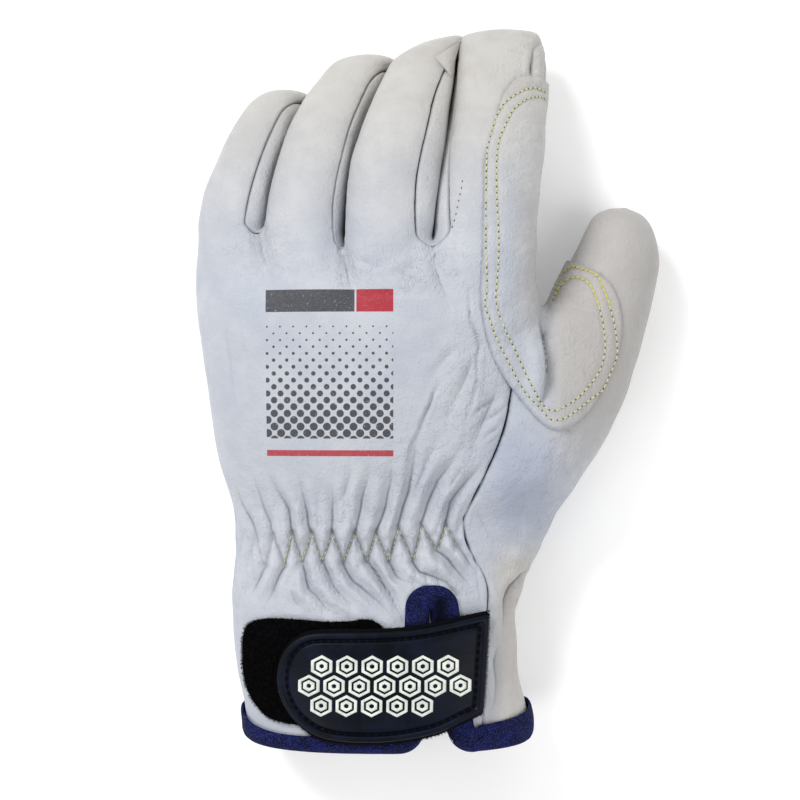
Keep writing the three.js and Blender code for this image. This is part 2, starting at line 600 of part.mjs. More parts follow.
function thumbRow(row, index, inset) {
  const last = index === THUMB.length - 1;
  const back = vector(0, 0, 1);
  const lateral = vector(Math.cos(radians(row.yaw)), -Math.sin(radians(row.yaw)), 0);
  const line = vector(Math.sin(radians(row.yaw)), Math.cos(radians(row.yaw)), 0);
  const power = 2 / FINGER_ROUNDNESS;
  const count = 24;
  const heightShare = last ? 0.1 : 1;
  const points = Array.from({ length: count + 1 }, (_, i) => {
    const angle = radians(mix(row.from, row.to, i / count));
    return vector(row.x, row.y, row.z)
      .addScaledVector(lateral, (row.w - inset) * (last ? 0.6 : 1) * signedPower(Math.cos(angle), power))
      .addScaledVector(back, (row.h - inset) * heightShare * signedPower(Math.sin(angle), power))
      .addScaledVector(line, last ? -inset : 0);
  });
  if (row.topSeam !== undefined) {
    const reach = 0.4;
    // the last of these rows lies in the crotch, where the wall's inside is the side towards the cuff
    const turned = THUMB[index + 1].topSeam === undefined ? 1 : 0;
    const sewn = (y, which) => thumbSeamPoint(y - turned * inset, which, inset * (1 - 0.7 * turned));
    const top = sewn(row.topSeam, "top").sub(points[0]);
    const bottom = sewn(row.bottomSeam, "bottom").sub(points[count]);
    points.forEach((point, i) => {
      const near = Math.max(1 - i / count / reach, 0) ** 2;
      const far = Math.max(1 - (1 - i / count) / reach, 0) ** 2;
      point.addScaledVector(top, near).addScaledVector(bottom, far);
    });
  }
  for (const point of points) point.z = Math.max(point.z, inset);
  return evenly(points, THUMB_COLUMNS);
}

function thumbSheet() {
  const handSteps = [0, 0.12, 0.26, 0.4, 0.54, 0.68, 0.84, 1];
  const keyRows = (inset) => [
    ...handSteps.map((step) => thumbHandRow(step, inset)),
    ...THUMB.map((row, i) => thumbRow(row, i, inset)),
  ];
  const refine = (rows) => {
    const between = 2;
    const columns = rows[0].map((_, c) => {
      const curve = new THREE.CatmullRomCurve3(rows.map((row) => row[c]), false, "centripetal");
      return Array.from({ length: (rows.length - 1) * between + 1 }, (_, i) =>
        curve.getPoint(i / ((rows.length - 1) * between)),
      );
    });
    return columns[0].map((_, r) => columns.map((column) => column[r]));
  };
  const [outer, inner] = [refine(keyRows(0)), refine(keyRows(LEATHER))];
  const rows = outer.map((row, r) => row.map((point, c) => [point, inner[r][c]]));
  const lastSewn = (handSteps.length + THUMB.findIndex((row) => row.topSeam === undefined) - 1) * 2;
  rows.forEach((row, r) => {
    if (r < lastSewn) {
      const [top, bottom] = [row[0][0].y, row.at(-1)[0].y];
      row[0] = wallPair((inset) => thumbSeamPoint(top, "top", inset));
      row[row.length - 1] = wallPair((inset) => thumbSeamPoint(bottom, "bottom", inset));
    }
    for (const [out, into] of row) {
      out.z = Math.max(out.z, 0);
      into.z = Math.max(into.z, LEATHER);
    }
  });
  return new Sheet().grid(rows);
}

// A place on the back of the cuff by its x and y, lifted off the leather
const onCuff = (x, y, lift) => handPoint(y, angleAt(y, x), -lift);

// A closed band whose section is a ring of points at each of its stations
function closedBand(rings) {
  const around = rings[0].length;
  const faces = [];
  rings.forEach((_, r) => {
    const next = (r + 1) % rings.length;
    for (let i = 0; i < around; i += 1) {
      const j = (i + 1) % around;
      const [a, b, c, d] = [r * around + i, r * around + j, next * around + j, next * around + i];
      faces.push([a, b, c], [a, c, d]);
    }
  });
  return closedGeometry(rings.flat(), faces);
}

// The cuff's binding: a folded tape over the hem and both edges of the slit
function cuffBinding() {
  const { width, cloth } = BINDING;
  const near = -CLEARANCE - 0.2;
  const far = near - cloth;
  const inNear = LEATHER + CLEARANCE + 0.2;
  const inFar = inNear + cloth;
  const half = width / 2;
  const section = [
    [width, far],
    [half, far],
    [far, far],
    [far, inFar],
    [half, inFar],
    [width, inFar],
    [width, inNear],
    [half, inNear],
    [near, inNear],
    [near, near],
    [half, near],
    [width, near],
  ];
  const ringAt = (place) =>
    section.map(([u, inset]) => {
      const [x, y] = place(u);
      return handPoint(y, angleAt(y, x), inset);
    });
  const onSlit = (x, y, alongX, alongY) => (u) => [x + alongX * u, y + alongY * u];
  const onHem = (angle) => (u) => [handPoint(hemY(angle) + u, angle).x, hemY(angle) + u];
  const between = (a, b, share) => (u) => [0, 1].map((i) => mix(a(u)[i], b(u)[i], share));
  const cornerY = (which) => hemY(angleAt(HEM.middle, slitEdge(HEM.middle, which)));
  const edges = (which) =>
    [0.12, 0.28, 0.44, 0.6, 0.78].map((share) => {
      const y = mix(CUFF_SLIT.apex, cornerY(which), share);
      return onSlit(slitEdge(y, which), y, which, 0);
    });
  const corner = (which) => onSlit(slitEdge(cornerY(which), which), cornerY(which), which, 1);
  const apex = (which) =>
    [80, 45, 10].map((turn) =>
      onSlit(
        slitEdge(CUFF_SLIT.apex, which),
        CUFF_SLIT.apex,
        which * Math.cos(radians(turn)),
        Math.sin(radians(turn)),
      ),
    );
  const hemFrom = (which) => angleAt(HEM.middle, slitEdge(HEM.middle, which) + which * (width + 1));
  const side = (which) => {
    const [down, turn, along] = [edges(which), corner(which), onHem(hemFrom(which))];
    const rounded = [between(down.at(-1), turn, 0.5), turn, between(turn, along, 0.4), between(turn, along, 0.75)];
    return [...apex(which), ...down, ...rounded].map(ringAt);
  };
  const hem = spacedAngles(HEM.middle + 6, hemFrom(1), hemFrom(-1) - 360, 58).map((angle) =>
    section.map(([u, inset]) => handPoint(hemY(angle) + u, angle, inset)),
  );
  return closedBand([...side(1), ...hem, ...side(-1).toReversed()]);
}

// The strap's outline by x: its upper and lower edges
const STRAP = [
  { x: -36.4, top: -84.6, bottom: -88.6 },
  { x: -35.8, top: -81.6, bottom: -91.6 },
  { x: -34.2, top: -77.6, bottom: -95.6 },
  { x: -31.8, top: -74.6, bottom: -99.4 },
  { x: -29.0, top: -72.6, bottom: -102.2 },
  { x: -25.2, top: -71.5, bottom: -104.9 },
  { x: -19.4, top: -71.3, bottom: -106.6 },
  { x: -12.0, top: -71.2, bottom: -107.2 },
  { x: -4.0, top: -71.0, bottom: -107.0 },
  { x: 4.0, top: -70.3, bottom: -105.8 },
  { x: 11.8, top: -68.8, bottom: -103.8 },
  { x: 19.4, top: -67.2, bottom: -100.6 },
  { x: 25.8, top: -66.0, bottom: -98.0 },
];
const STRAP_END_SLANT = 1.8; // the square end leans this far back at its lower corner

const LOOP_PAD = [
  { x: -48.6, top: -75.5, bottom: -84.0 },
  { x: -47.6, top: -71.6, bottom: -90.0 },
  { x: -45.2, top: -69.6, bottom: -95.0 },
  { x: -41.0, top: -68.6, bottom: -99.4 },
  { x: -36.0, top: -68.5, bottom: -101.0 },
  { x: -30.0, top: -68.7, bottom: -101.6 },
  { x: -23.0, top: -69.2, bottom: -102.0 },
  { x: -16.0, top: -69.0, bottom: -102.0 },
  { x: -9.5, top: -68.4, bottom: -101.8 },
  { x: -5.5, top: -70.5, bottom: -100.8 },
];
const PAD_THICKNESS = 1.3;
const STRAP_LIFT = CLEARANCE + PAD_THICKNESS + 0.3;
const STRAP_THICKNESS = 1.4;
const STRAP_FOLD = 1.0; // the strap's turned-under end, from here to its square edge
const BADGE = { margin: 1.1, endMargin: 2.4, body: 1.1, rimHeight: 0.8, rimFrom: 1.4, rimWidth: 1.3 };

// A flat piece on the cuff: outline rows by x, with the lifts of its two faces
function cuffPlate(outline, across, lifts, slant = 0) {
  const rows = outline.map((row) =>
    Array.from({ length: across + 1 }, (_, i) => {
      const share = i / across;
      const y = mix(row.top, row.bottom, share);
      const toEnd = smooth(row.x, outline.at(-1).x - 18, outline.at(-1).x);
      const x = row.x - slant * share * toEnd;
      return lifts(x, y, row, share).map((lift) => onCuff(x, y, lift));
    }),
  );
  return new Sheet().grid(rows).wall();
}

// The outline drawn in by a margin, and by more at its square end
function drawnIn(outline, margin, endMargin) {
  const [first, last] = [outline[0].x + margin, outline.at(-1).x - endMargin];
  const scale = (last - first) / (outline.at(-1).x - outline[0].x);
  return outline.map((row) => ({
    x: first + (row.x - outline[0].x) * scale,
    top: row.top - margin,
    bottom: row.bottom + margin,
  }));
}

function strapBase() {
  const end = STRAP.at(-1);
  const before = (x) => ({ x, top: sample(STRAP, "x", "top", x), bottom: sample(STRAP, "x", "bottom", x) });
  const fold = end.x - STRAP_FOLD;
  const outline = [...STRAP.slice(0, -1), before(fold - 0.3), before(fold), end];
  return cuffPlate(
    outline,
    6,
    (x, y, row) => {
      const turned = row.x > fold - 0.1;
      return [STRAP_LIFT + STRAP_THICKNESS, turned ? CLEARANCE + 0.2 : STRAP_LIFT];
    },
    STRAP_END_SLANT,
  );
}

// The moulded badge, a body with a raised rim a little way in from its edge
function strapBadge() {
  const { margin, endMargin, body, rimHeight, rimFrom, rimWidth } = BADGE;
  const outline = drawnIn(STRAP, margin, endMargin);
  const base = STRAP_LIFT + STRAP_THICKNESS + 0.3;
  const [first, last] = [outline[0].x, outline.at(-1).x];
  const stations = [0, rimFrom, rimFrom + 0.25, rimFrom + rimWidth - 0.25, rimFrom + rimWidth];
  const inner = Array.from({ length: 9 }, (_, i) => mix(first + 5.5, last - 5.5, i / 8));
  const xs = [...stations.map((d) => first + d), ...inner, ...stations.toReversed().map((d) => last - d)];
  const rows = xs.map((x) => {
    const top = sample(outline, "x", "top", x);
    const bottom = sample(outline, "x", "bottom", x);
    const offsets = stations.map((d) => Math.min(d, (top - bottom) * 0.11 * (1 + stations.indexOf(d))));
    const ys = [
      ...offsets.map((d) => top - d),
      mix(top, bottom, 0.35),
      mix(top, bottom, 0.65),
      ...offsets.toReversed().map((d) => bottom + d),
    ];
    return ys.map((y) => {
      const share = (top - y) / (top - bottom);
      const slantShare = smooth(x, last - 18, last);
      const place = x - STRAP_END_SLANT * share * slantShare;
      const inFromEdge = Math.min(x - first, last - x, top - y, y - bottom);
      const onRim = inFromEdge > rimFrom + 0.1 && inFromEdge < rimFrom + rimWidth - 0.1;
      const face = base + body + (onRim ? rimHeight : 0);
      return [onCuff(place, y, face), onCuff(place, y, base)];
    });
  });
  return new Sheet().grid(rows).wall();
}

// The patch sewn over the thumb crotch. Each row runs from its cut edge on the back of the hand, over
// the side of the forefinger or thumb, to its cut edge on the palm.
const PATCH_ROWS = [
  { backX: 43.4, backY: 101.6, sideX: 46.0, sideY: 101.0, sideZ: 24.0, palmX: 43.5, palmY: 100.5, palmZ: -6 },
  { backX: 37.6, backY: 99.6, sideX: 46.6, sideY: 97.5, sideZ: 26.0, palmX: 38.0, palmY: 98.0, palmZ: -6 },
  { backX: 31.6, backY: 93.0, sideX: 46.8, sideY: 91.0, sideZ: 28.0, palmX: 33.0, palmY: 91.5, palmZ: -6 },
  { backX: 28.0, backY: 85.0, sideX: 46.6, sideY: 84.0, sideZ: 30.0, palmX: 30.0, palmY: 84.0, palmZ: -6 },
  { backX: 26.0, backY: 76.0, sideX: 45.0, sideY: 76.0, sideZ: 32.0, palmX: 28.5, palmY: 75.5, palmZ: -6 },
  { backX: 25.8, backY: 66.0, sideX: 43.8, sideY: 67.0, sideZ: 34.0, palmX: 28.0, palmY: 66.0, palmZ: -6 },
  { backX: 25.7, backY: 56.0, sideX: 43.2, sideY: 58.0, sideZ: 35.5, palmX: 27.5, palmY: 56.5, palmZ: -6 },
  { backX: 25.7, backY: 45.0, sideX: 43.0, sideY: 49.0, sideZ: 35.5, palmX: 28.5, palmY: 47.5, palmZ: -6 },
  { backX: 25.7, backY: 34.0, sideX: 43.2, sideY: 40.5, sideZ: 33.0, palmX: 31.0, palmY: 40.0, palmZ: 2 },
  { backX: 26.6, backY: 24.0, sideX: 43.8, sideY: 34.5, sideZ: 30.5, palmX: 35.5, palmY: 34.0, palmZ: 8 },
  { backX: 31.0, backY: 11.5, sideX: 44.6, sideY: 31.0, sideZ: 28.6, palmX: 39.5, palmY: 30.0, palmZ: 14 },
  { backX: 38.0, backY: 0.0, sideX: 45.4, sideY: 29.4, sideZ: 26.8, palmX: 42.0, palmY: 28.0, palmZ: 16 },
  { backX: 47.0, backY: -9.6, sideX: 46.2, sideY: 28.8, sideZ: 25.0, palmX: 44.0, palmY: 27.0, palmZ: 15 },
  { backX: 57.0, backY: -7.0, sideX: 47.2, sideY: 29.4, sideZ: 23.2, palmX: 46.0, palmY: 27.8, palmZ: 12 },
  { backX: 66.0, backY: 2.0, sideX: 48.4, sideY: 31.0, sideZ: 21.4, palmX: 48.0, palmY: 29.8, palmZ: 10 },
  { backX: 71.0, backY: 14.0, sideX: 49.8, sideY: 34.0, sideZ: 19.8, palmX: 50.0, palmY: 32.6, palmZ: 9 },
  { backX: 72.2, backY: 25.0, sideX: 51.4, sideY: 37.0, sideZ: 18.4, palmX: 52.0, palmY: 36.0, palmZ: 8.5 },
  { backX: 70.0, backY: 33.6, sideX: 53.0, sideY: 40.4, sideZ: 17.2, palmX: 53.6, palmY: 39.6, palmZ: 8 },
  { backX: 66.0, backY: 38.8, sideX: 54.2, sideY: 43.0, sideZ: 16.4, palmX: 55.0, palmY: 42.4, palmZ: 8 },
  { backX: 60.8, backY: 42.2, sideX: 55.0, sideY: 44.8, sideZ: 15.8, palmX: 56.0, palmY: 44.4, palmZ: 8 },
];
const PATCH_HALF = 5; // columns on either side of a row's middle
const CROTCH_ROWS = [9, 15]; // the rows that fan out round the crotch
const CROTCH_WAY_OUT = vector(0.4, 1, 0).normalize(); // between the forefinger and the thumb

// How far inside the crotch a corner of the patch lies, 0 to 1
function inCrotch(r, c) {
  const [first, last] = CROTCH_ROWS;
  const alongRows = smooth(r, first, first + 2) * (1 - smooth(r, last - 2, last));
  return alongRows * (1 - smooth(Math.abs(c - PATCH_HALF), 2, 4.5));
}

// Finds the nearest place on the outer faces of some sheets, with its direction out and its height
function surfaceFinder(sheets, within) {
  const triangles = sheets.flatMap(({ points, inner, faces }) => {
    const normals = points.map(() => vector(0, 0, 0));
    const made = faces.map((face) => {
      const triangle = new THREE.Triangle(...face.map((i) => points[i]));
      const normal = triangle.getNormal(vector(0, 0, 0)).multiplyScalar(triangle.getArea());
      for (const i of face) normals[i].add(normal);
      return { triangle, face };
    });
    normals.forEach((normal, i) => {
      const outward = points[i].clone().sub(inner[i]);
      normal.normalize().multiplyScalar(normal.dot(outward) < 0 ? -1 : 1);
    });
    return made
      .filter(({ triangle }) => within.containsPoint(triangle.a))
      .map(({ triangle, face }) => ({ triangle, normals: face.map((i) => normals[i]) }));
  });
  const [closest, share] = [vector(0, 0, 0), vector(0, 0, 0)];
  return (point) => {
    let best = { distance: Infinity };
    for (const { triangle, normals } of triangles) {
      triangle.closestPointToPoint(point, closest);
      const distance = closest.distanceToSquared(point);
      if (distance < best.distance) best = { distance, triangle, normals, at: closest.clone() };
    }
    best.triangle.getBarycoord(best.at, share);
    const out = best.normals[0].clone().multiplyScalar(share.x);
    out.addScaledVector(best.normals[1], share.y).addScaledVector(best.normals[2], share.z).normalize();
    const offset = point.clone().sub(best.at);
    return { at: best.at, out, height: Math.sign(offset.dot(out)) * offset.length() };
  };
}

function crotchPatch(sheets) {
  const find = surfaceFinder(sheets, new THREE.Box3(vector(14, -22, -5), vector(90, 125, 70)));
  const settle = (point) => {
    const { at, out } = find(point);
    return at.addScaledVector(out, PATCH.lift);
  };
  const rows = PATCH_ROWS.map((row) => {
    const back = settle(vector(row.backX, row.backY, 70 - row.backX / 2));
    const side = settle(vector(row.sideX, row.sideY, row.sideZ));
    const palm = settle(vector(row.palmX, row.palmY, row.palmZ));
    const half = (a, b) => {
      const points = Array.from({ length: 5 }, (_, i) => settle(a.clone().lerp(b, i / 4)));
      return evenly(points, PATCH_HALF);
    };
    return [...half(back, side), ...half(side, palm).slice(1)].map((point) => [point, point.clone()]);
  });
  for (let pass = 0; pass < 4; pass += 1) {
    relax(rows, 1, 2);
    rows.forEach((row, r) => {
      row.forEach((pair, c) => {
        pair[0].lerp(settle(pair[0]), 1 - inCrotch(r, c));
        pair[1] = pair[0].clone();
      });
    });
  }
  relax(rows, 1, 3);

  // Lift it wherever a corner or the middle of a cell is too near the leather below
  for (let pass = 0; pass < 14; pass += 1) {
    const pushes = new Map();
    for (let r = 0; r + 1 < rows.length; r += 1) {
      for (let c = 0; c + 1 < rows[r].length; c += 1) {
        const cell = [rows[r][c], rows[r][c + 1], rows[r + 1][c + 1], rows[r + 1][c]].map((pair) => pair[1]);
        const middle = (a, b) => a.clone().add(b).multiplyScalar(0.5);
        const places = cell.flatMap((point, i) => [point, middle(point, cell[(i + 1) % 4])]);
        for (const place of [...places, middle(cell[0], cell[2])]) {
          const { out, height } = find(place);
          const short = PATCH.lift - height;
          if (short < 0.01) continue;
          out.lerp(CROTCH_WAY_OUT, inCrotch(r + 0.5, c + 0.5)).normalize();
          for (const point of cell) {
            if (short > (pushes.get(point)?.short ?? 0)) pushes.set(point, { out, short });
          }
        }
      }
    }
    for (const [point, { out, short }] of pushes) point.addScaledVector(out, Math.min(short, 1) * 0.7);
    if (pass < 8) relax(rows, 1, 1);
  }

  const outward = rows.map((row, r) =>
    row.map((_, c) => {
      const [before, after] = [rows[Math.max(r - 1, 0)][c][1], rows[Math.min(r + 1, rows.length - 1)][c][1]];
      const [left, right] = [row[Math.max(c - 1, 0)][1], row[Math.min(c + 1, row.length - 1)][1]];
      const across = right.clone().sub(left).cross(after.clone().sub(before)).normalize();
      const { out } = find(row[c][1]);
      out.lerp(CROTCH_WAY_OUT, inCrotch(r, c)).normalize();
      return [across.multiplyScalar(across.dot(out) < 0 ? -1 : 1).add(out).normalize(), vector(0, 0, 0)];
    }),
  );
  relax(outward, 1, 3);
  rows.forEach((row, r) => {
    row.forEach((pair, c) => {
      pair[0] = pair[1].clone().addScaledVector(outward[r][c][0].normalize(), PATCH.leather);
    });
  });
  return new Sheet().grid(rows).wall();
}

const WHITE_LEATHER = new THREE.MeshStandardMaterial({ color: 0xdcdddf, roughness: 0.62, metalness: 0 });
const NAVY_TWILL = new THREE.MeshStandardMaterial({ color: 0x191c4e, roughness: 0.85, metalness: 0 });
const BLACK_PILE = new THREE.MeshStandardMaterial({ color: 0x0b0b0d, roughness: 0.95, metalness: 0 });
const BLACK_WEBBING = new THREE.MeshStandardMaterial({ color: 0x101114, roughness: 0.85, metalness: 0 });
const NAVY_RUBBER = new THREE.MeshStandardMaterial({ color: 0x0b1430, roughness: 0.45, metalness: 0 });

const glove = new THREE.Group();
function add(name, geometry, material) {
  const mesh = new THREE.Mesh(geometry, material);
  mesh.name = name;
  glove.add(mesh);
}

const [backSheet, palmSheet, thumbWrap] = [combSheet("back"), combSheet("palm"), thumbSheet()];
add("back_panel", backSheet.wall(), WHITE_LEATHER);
add("palm_panel", palmSheet.wall(), WHITE_LEATHER);
["little_ring", "ring_middle", "middle_index"].forEach((pair, gap) => {
  add(`side_strip_${pair}`, sideStrip(gap), WHITE_LEATHER);
});
add("thumb_panel", thumbWrap.wall(), WHITE_LEATHER);
add("crotch_patch", crotchPatch([backSheet, palmSheet, thumbWrap]), WHITE_LEATHER);
add("cuff_binding", cuffBinding(), NAVY_TWILL);
add("loop_pad", cuffPlate(LOOP_PAD, 6, () => [CLEARANCE + PAD_THICKNESS, CLEARANCE]), BLACK_PILE);
add("closure_strap", strapBase(), BLACK_WEBBING);
add("strap_badge", strapBadge(), NAVY_RUBBER);

export default glove;
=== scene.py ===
# The looks of a left-hand leather rigger glove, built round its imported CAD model.
# The shapes are worked out in millimetres. +Z is up, +Y runs from the cuff to the fingertips and
# +X to the thumb. Blender's own objects are in metres, in the same frame.
#
# Each leather panel is a grid of places on the hand, a finger or the thumb. It is subdivided, its
# seams are rolled in, its folds and gathers are pressed in, and it is given its thickness.
import math
import random
from functools import lru_cache, reduce

import bpy
import numpy as np
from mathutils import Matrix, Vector, noise
from mathutils.bvhtree import BVHTree
from mathutils.kdtree import KDTree


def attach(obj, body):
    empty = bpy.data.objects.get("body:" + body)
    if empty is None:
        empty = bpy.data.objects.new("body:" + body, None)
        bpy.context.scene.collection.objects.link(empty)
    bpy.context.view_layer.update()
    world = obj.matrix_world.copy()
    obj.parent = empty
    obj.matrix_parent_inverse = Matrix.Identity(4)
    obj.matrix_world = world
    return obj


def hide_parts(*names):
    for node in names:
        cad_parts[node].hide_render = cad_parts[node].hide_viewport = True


# Tables
class Table:
    """Named columns by the first one, with a smooth curve through the rows."""

    def __init__(self, names, *rows):
        self.names = names.split()
        self.places = [row[0] for row in rows]
        self.columns = {name: [row[i] for row in rows] for i, name in enumerate(self.names)}

    def rows(self):
        return [dict(zip(self.names, values)) for values in zip(*self.columns.values())]

    def at(self, name, place):
        places, values = self.places, self.columns[name]
        last = len(places) - 1
        i = 0
        while i < last - 1 and place > places[i + 1]:
            i += 1

        def slope(j):
            a, b = max(j - 1, 0), min(j + 1, last)
            return (values[b] - values[a]) / (places[b] - places[a])

        span = places[i + 1] - places[i]
        t = clamp((place - places[i]) / span)
        return hermite(values[i], values[i + 1], span * slope(i), span * slope(i + 1), t)

    @lru_cache(maxsize=None)
    def row_at(self, place):
        """Every column's value at a place"""
        return {name: self.at(name, place) for name in self.names}


def hermite(a, b, start, end, t):
    """The smooth curve from a to b that has these slopes at its ends"""
    t2, t3 = t * t, t * t * t
    return (2 * t3 - 3 * t2 + 1) * a + (t3 - 2 * t2 + t) * start + (3 * t2 - 2 * t3) * b + (t3 - t2) * end


def mix(a, b, share):
    return a + (b - a) * share


def clamp(value, low=0.0, high=1.0):
    return max(low, min(high, value))


def smooth(value, start, end):
    t = clamp((value - start) / (end - start))
    return t * t * (3 - 2 * t)


def fade(values, start, end):
    """smooth for arrays"""
    t = np.clip((values - start) / (end - start), 0, 1)
    return t * t * (3 - 2 * t)


def bell(values, width=1.0):
    """1 at 0, falling off softly over that width"""
    return np.exp(-((values / width) ** 2))


def signed_power(value, power):
    return math.copysign(abs(value) ** power, value)


def cos_sin(degrees):
    return math.cos(math.radians(degrees)), math.sin(math.radians(degrees))


def reach_along(points):
    """How far along a line of points each of them lies"""
    return np.concatenate([[0], np.cumsum(np.linalg.norm(np.diff(points, axis=0), axis=1))])


# Driving dimensions
LEATHER = 1.9  # hide and its knitted backing together
SEAM_GAP = 0.08  # between two panels at a seam
CLEARANCE = 0.45  # between a piece and the one it lies on
FINGER_GAP = 0.25
PRESS_SOFTNESS = 1.2  # how softly two fingers flatten on each other
PRESS_TIP_SPAN = (-1, 6)  # from a neighbour's tip: the pressing comes in over these
PALM_SEAM_ANGLE = 46  # degrees below a finger's side, where its side strip is sewn in
OUTER_SEAM = 185  # degrees, the seam on the little finger's outer edge
TIP_LENGTH = 11
SEAM_RUN_OUT = (15, 3)  # the side seams close on the tip seam between these distances from it
WEB_DEPTH = 2.6
PALM_WEB_SHIFT = 7
ROOT = -24
BLEND_START = 22  # the hand's section starts to turn into the fingers' sections here
CUFF_SLIT = {"apex_x": 9.6, "hem_x": 11.6, "apex": -65, "top_width": 2.1, "hem_width": 9.4}
SLIT_RUN_OUT = 30  # above the slit, two columns come away from its edges over this length
HEM = {"middle": -109.8, "side": -105.5, "palm": -103}
FINGER_ROUNDNESS = 2.3
HAND_ROUNDNESS = 2.4
SEAM_ROLL = 0.9  # the radius that a sewn edge turns in with
STRIP_ROLL = 0.65
PATCH_ROLL = 0.35

# The hand and cuff, a row for each section across the palm
HAND = Table(
    "y left right crown left_side right_side top bottom",
    (-112, -48.4, 42.0, -4, 20, 20, 40.0, 2.1),
    (-98, -49.6, 40.6, -5, 20, 20, 41.5, 2.1),
    (-90, -51.4, 37.8, -6, 20, 20, 42.0, 0.4),
    (-82, -52.8, 37.9, -7, 20, 20, 42.0, -1.4),
    (-72, -53.6, 36.8, -8, 20, 20, 41.5, -2.0),
    (-62, -53.8, 38.4, -8, 20, 20, 40.5, -2.0),
    (-52, -52.8, 43.0, -7, 20, 20, 39.0, -2.0),
    (-44, -52.6, 46.8, -5, 20, 20, 38.6, -2.0),
    (-34, -53.4, 50.8, -3, 21, 21, 41.0, -2.0),
    (-20, -57.6, 50.0, 0, 22, 23, 45.5, -2.0),
    (-5, -60.6, 47.0, 2, 23, 25, 49.5, -2.0),
    (10, -62.2, 46.0, 3, 24, 27, 52.5, -1.0),
    (25, -65.0, 45.0, 4, 25, 30, 54.6, 5.0),
    (40, -67.0, 43.0, 4, 25, 33, 55.2, 13.5),
    (60, -62.5, 42.0, 4, 26, 35, 54.0, 24.0),
)

# The fingers, a row for each section. "along" is the distance from the knuckle, w and h are the
# half width and half height, and roll tips the finger's back towards the thumb.
FINGER_COLUMNS = "along x y z w h roll left_seam right_seam"
FINGERS = {
    "little": {
        "crotch": {"left": -1, "right": 2},
        "tip": {"width": 0.5, "slant": 0.65},
        "rows": Table(
            FINGER_COLUMNS,
            (-24, -50.5, 28.0, 31.0, 13.2, 13.2, -24, 0, 44),
            (0, -51.8, 52.0, 30.0, 12.2, 12.2, -28, 0, 46),
            (10, -50.4, 62.0, 29.8, 11.8, 11.9, -28, 0, 48),
            (22, -46.6, 73.6, 27.2, 11.0, 11.6, -29, 0, 50),
            (34, -42.5, 84.0, 21.8, 10.6, 11.4, -31, 0, 50),
            (45, -38.5, 91.6, 16.0, 9.6, 11.2, -34, 0, 50),
            (53, -34.3, 96.4, 11.8, 7.8, 10.6, -36, 0, 50),
        ),
    },
    "ring": {
        "crotch": {"left": 4, "right": -4},
        "tip": {"width": 0.5, "slant": 0.8},
        "rows": Table(
            FINGER_COLUMNS,
            (-24, -27.0, 26.0, 37.0, 13.5, 14.5, -12, 30, 30),
            (0, -29.0, 50.0, 36.0, 13.4, 13.4, -16, 30, 34),
            (12, -28.6, 61.5, 35.8, 13.2, 13.0, -18, 26, 34),
            (24, -26.0, 73.2, 33.4, 12.8, 12.8, -19, 24, 38),
            (38, -21.6, 86.0, 27.5, 12.2, 12.4, -21, 24, 42),
            (50, -16.8, 95.4, 21.0, 11.6, 12.0, -24, 24, 46),
            (60, -12.4, 103.0, 15.8, 10.6, 11.6, -27, 24, 48),
            (68, -7.6, 108.0, 11.6, 8.2, 10.8, -28, 24, 48),
        ),
    },
    "middle": {
        "crotch": {"left": -1.5, "right": 0.5},
        "tip": {"width": 0.5, "slant": 1.0},
        "rows": Table(
            FINGER_COLUMNS,
            (-24, -2.5, 24.0, 40.0, 14.0, 15.2, -2, 30, 40),
            (0, -4.0, 47.5, 39.5, 14.2, 14.2, -5, 28, 44),
            (12, -3.9, 59.5, 39.3, 14.3, 13.8, -7, 24, 48),
            (24, -2.6, 71.5, 37.6, 14.2, 13.5, -8, 22, 50),
            (38, 0.6, 84.2, 32.5, 13.6, 13.2, -9, 22, 50),
            (52, 4.2, 96.2, 25.5, 12.2, 12.6, -10, 22, 50),
            (64, 8.3, 105.3, 18.4, 10.5, 12.0, -12, 22, 50),
            (76, 12.2, 114.2, 12.8, 8.2, 11.0, -14, 22, 50),
        ),
    },
    "index": {
        "crotch": {"left": 1, "right": -3},
        "tip": {"width": 0.68, "slant": 0.1},
        "rows": Table(
            FINGER_COLUMNS,
            (-24, 24.5, 24.0, 38.5, 16.5, 16.0, 8, 44, 20),
            (0, 25.8, 48.0, 37.5, 16.0, 14.8, 8, 42, 20),
            (12, 26.4, 60.0, 37.0, 15.8, 14.2, 8, 36, 20),
            (24, 28.0, 71.5, 35.0, 15.5, 13.8, 7, 24, 20),
            (38, 29.7, 84.5, 30.2, 15.2, 13.2, 6, 18, 20),
            (52, 31.2, 97.0, 23.8, 15.1, 12.6, 4, 16, 20),
            (64, 31.8, 107.5, 17.5, 15.2, 12.2, 2, 16, 20),
            (76, 32.2, 118.8, 13.0, 13.8, 11.0, 0, 16, 20),
        ),
    },
}
FINGER_ORDER = ["little", "ring", "middle", "index"]

# The thumb, a row for each section square to its own line. yaw turns that line towards +X, and the
# section runs between the angles start and end. The first rows leave the hand at its two seams.
THUMB = Table(
    "x y z w h yaw start end top_seam bottom_seam",
    (33, -23, 20.0, 24.8, 23.5, 6, 107, -105, -24, -26),
    (42, -5, 19.5, 25.8, 22.0, 14, 122, -118, -6, -10),
    (51.5, 9.5, 18.5, 22.8, 19.0, 19, 150, -140, 14, 10),
    (60.8, 22.5, 17.0, 17.9, 17.2, 20, 172, -170, 25.4, 24.8),
    (67.0, 36, 15.6, 15.2, 15.8, 18, 180, -180, None, None),
    (70.9, 47, 14.6, 13.6, 14.8, 14, 180, -180, None, None),
    (71.6, 54, 13.8, 11.4, 13.2, 8, 180, -180, None, None),
    (71.2, 59.4, 13.0, 8.2, 10.2, 2, 180, -180, None, None),
    (70.6, 62.6, 12.4, 4.6, 6.0, -4, 180, -180, None, None),
)
THUMB_ROOT = -36

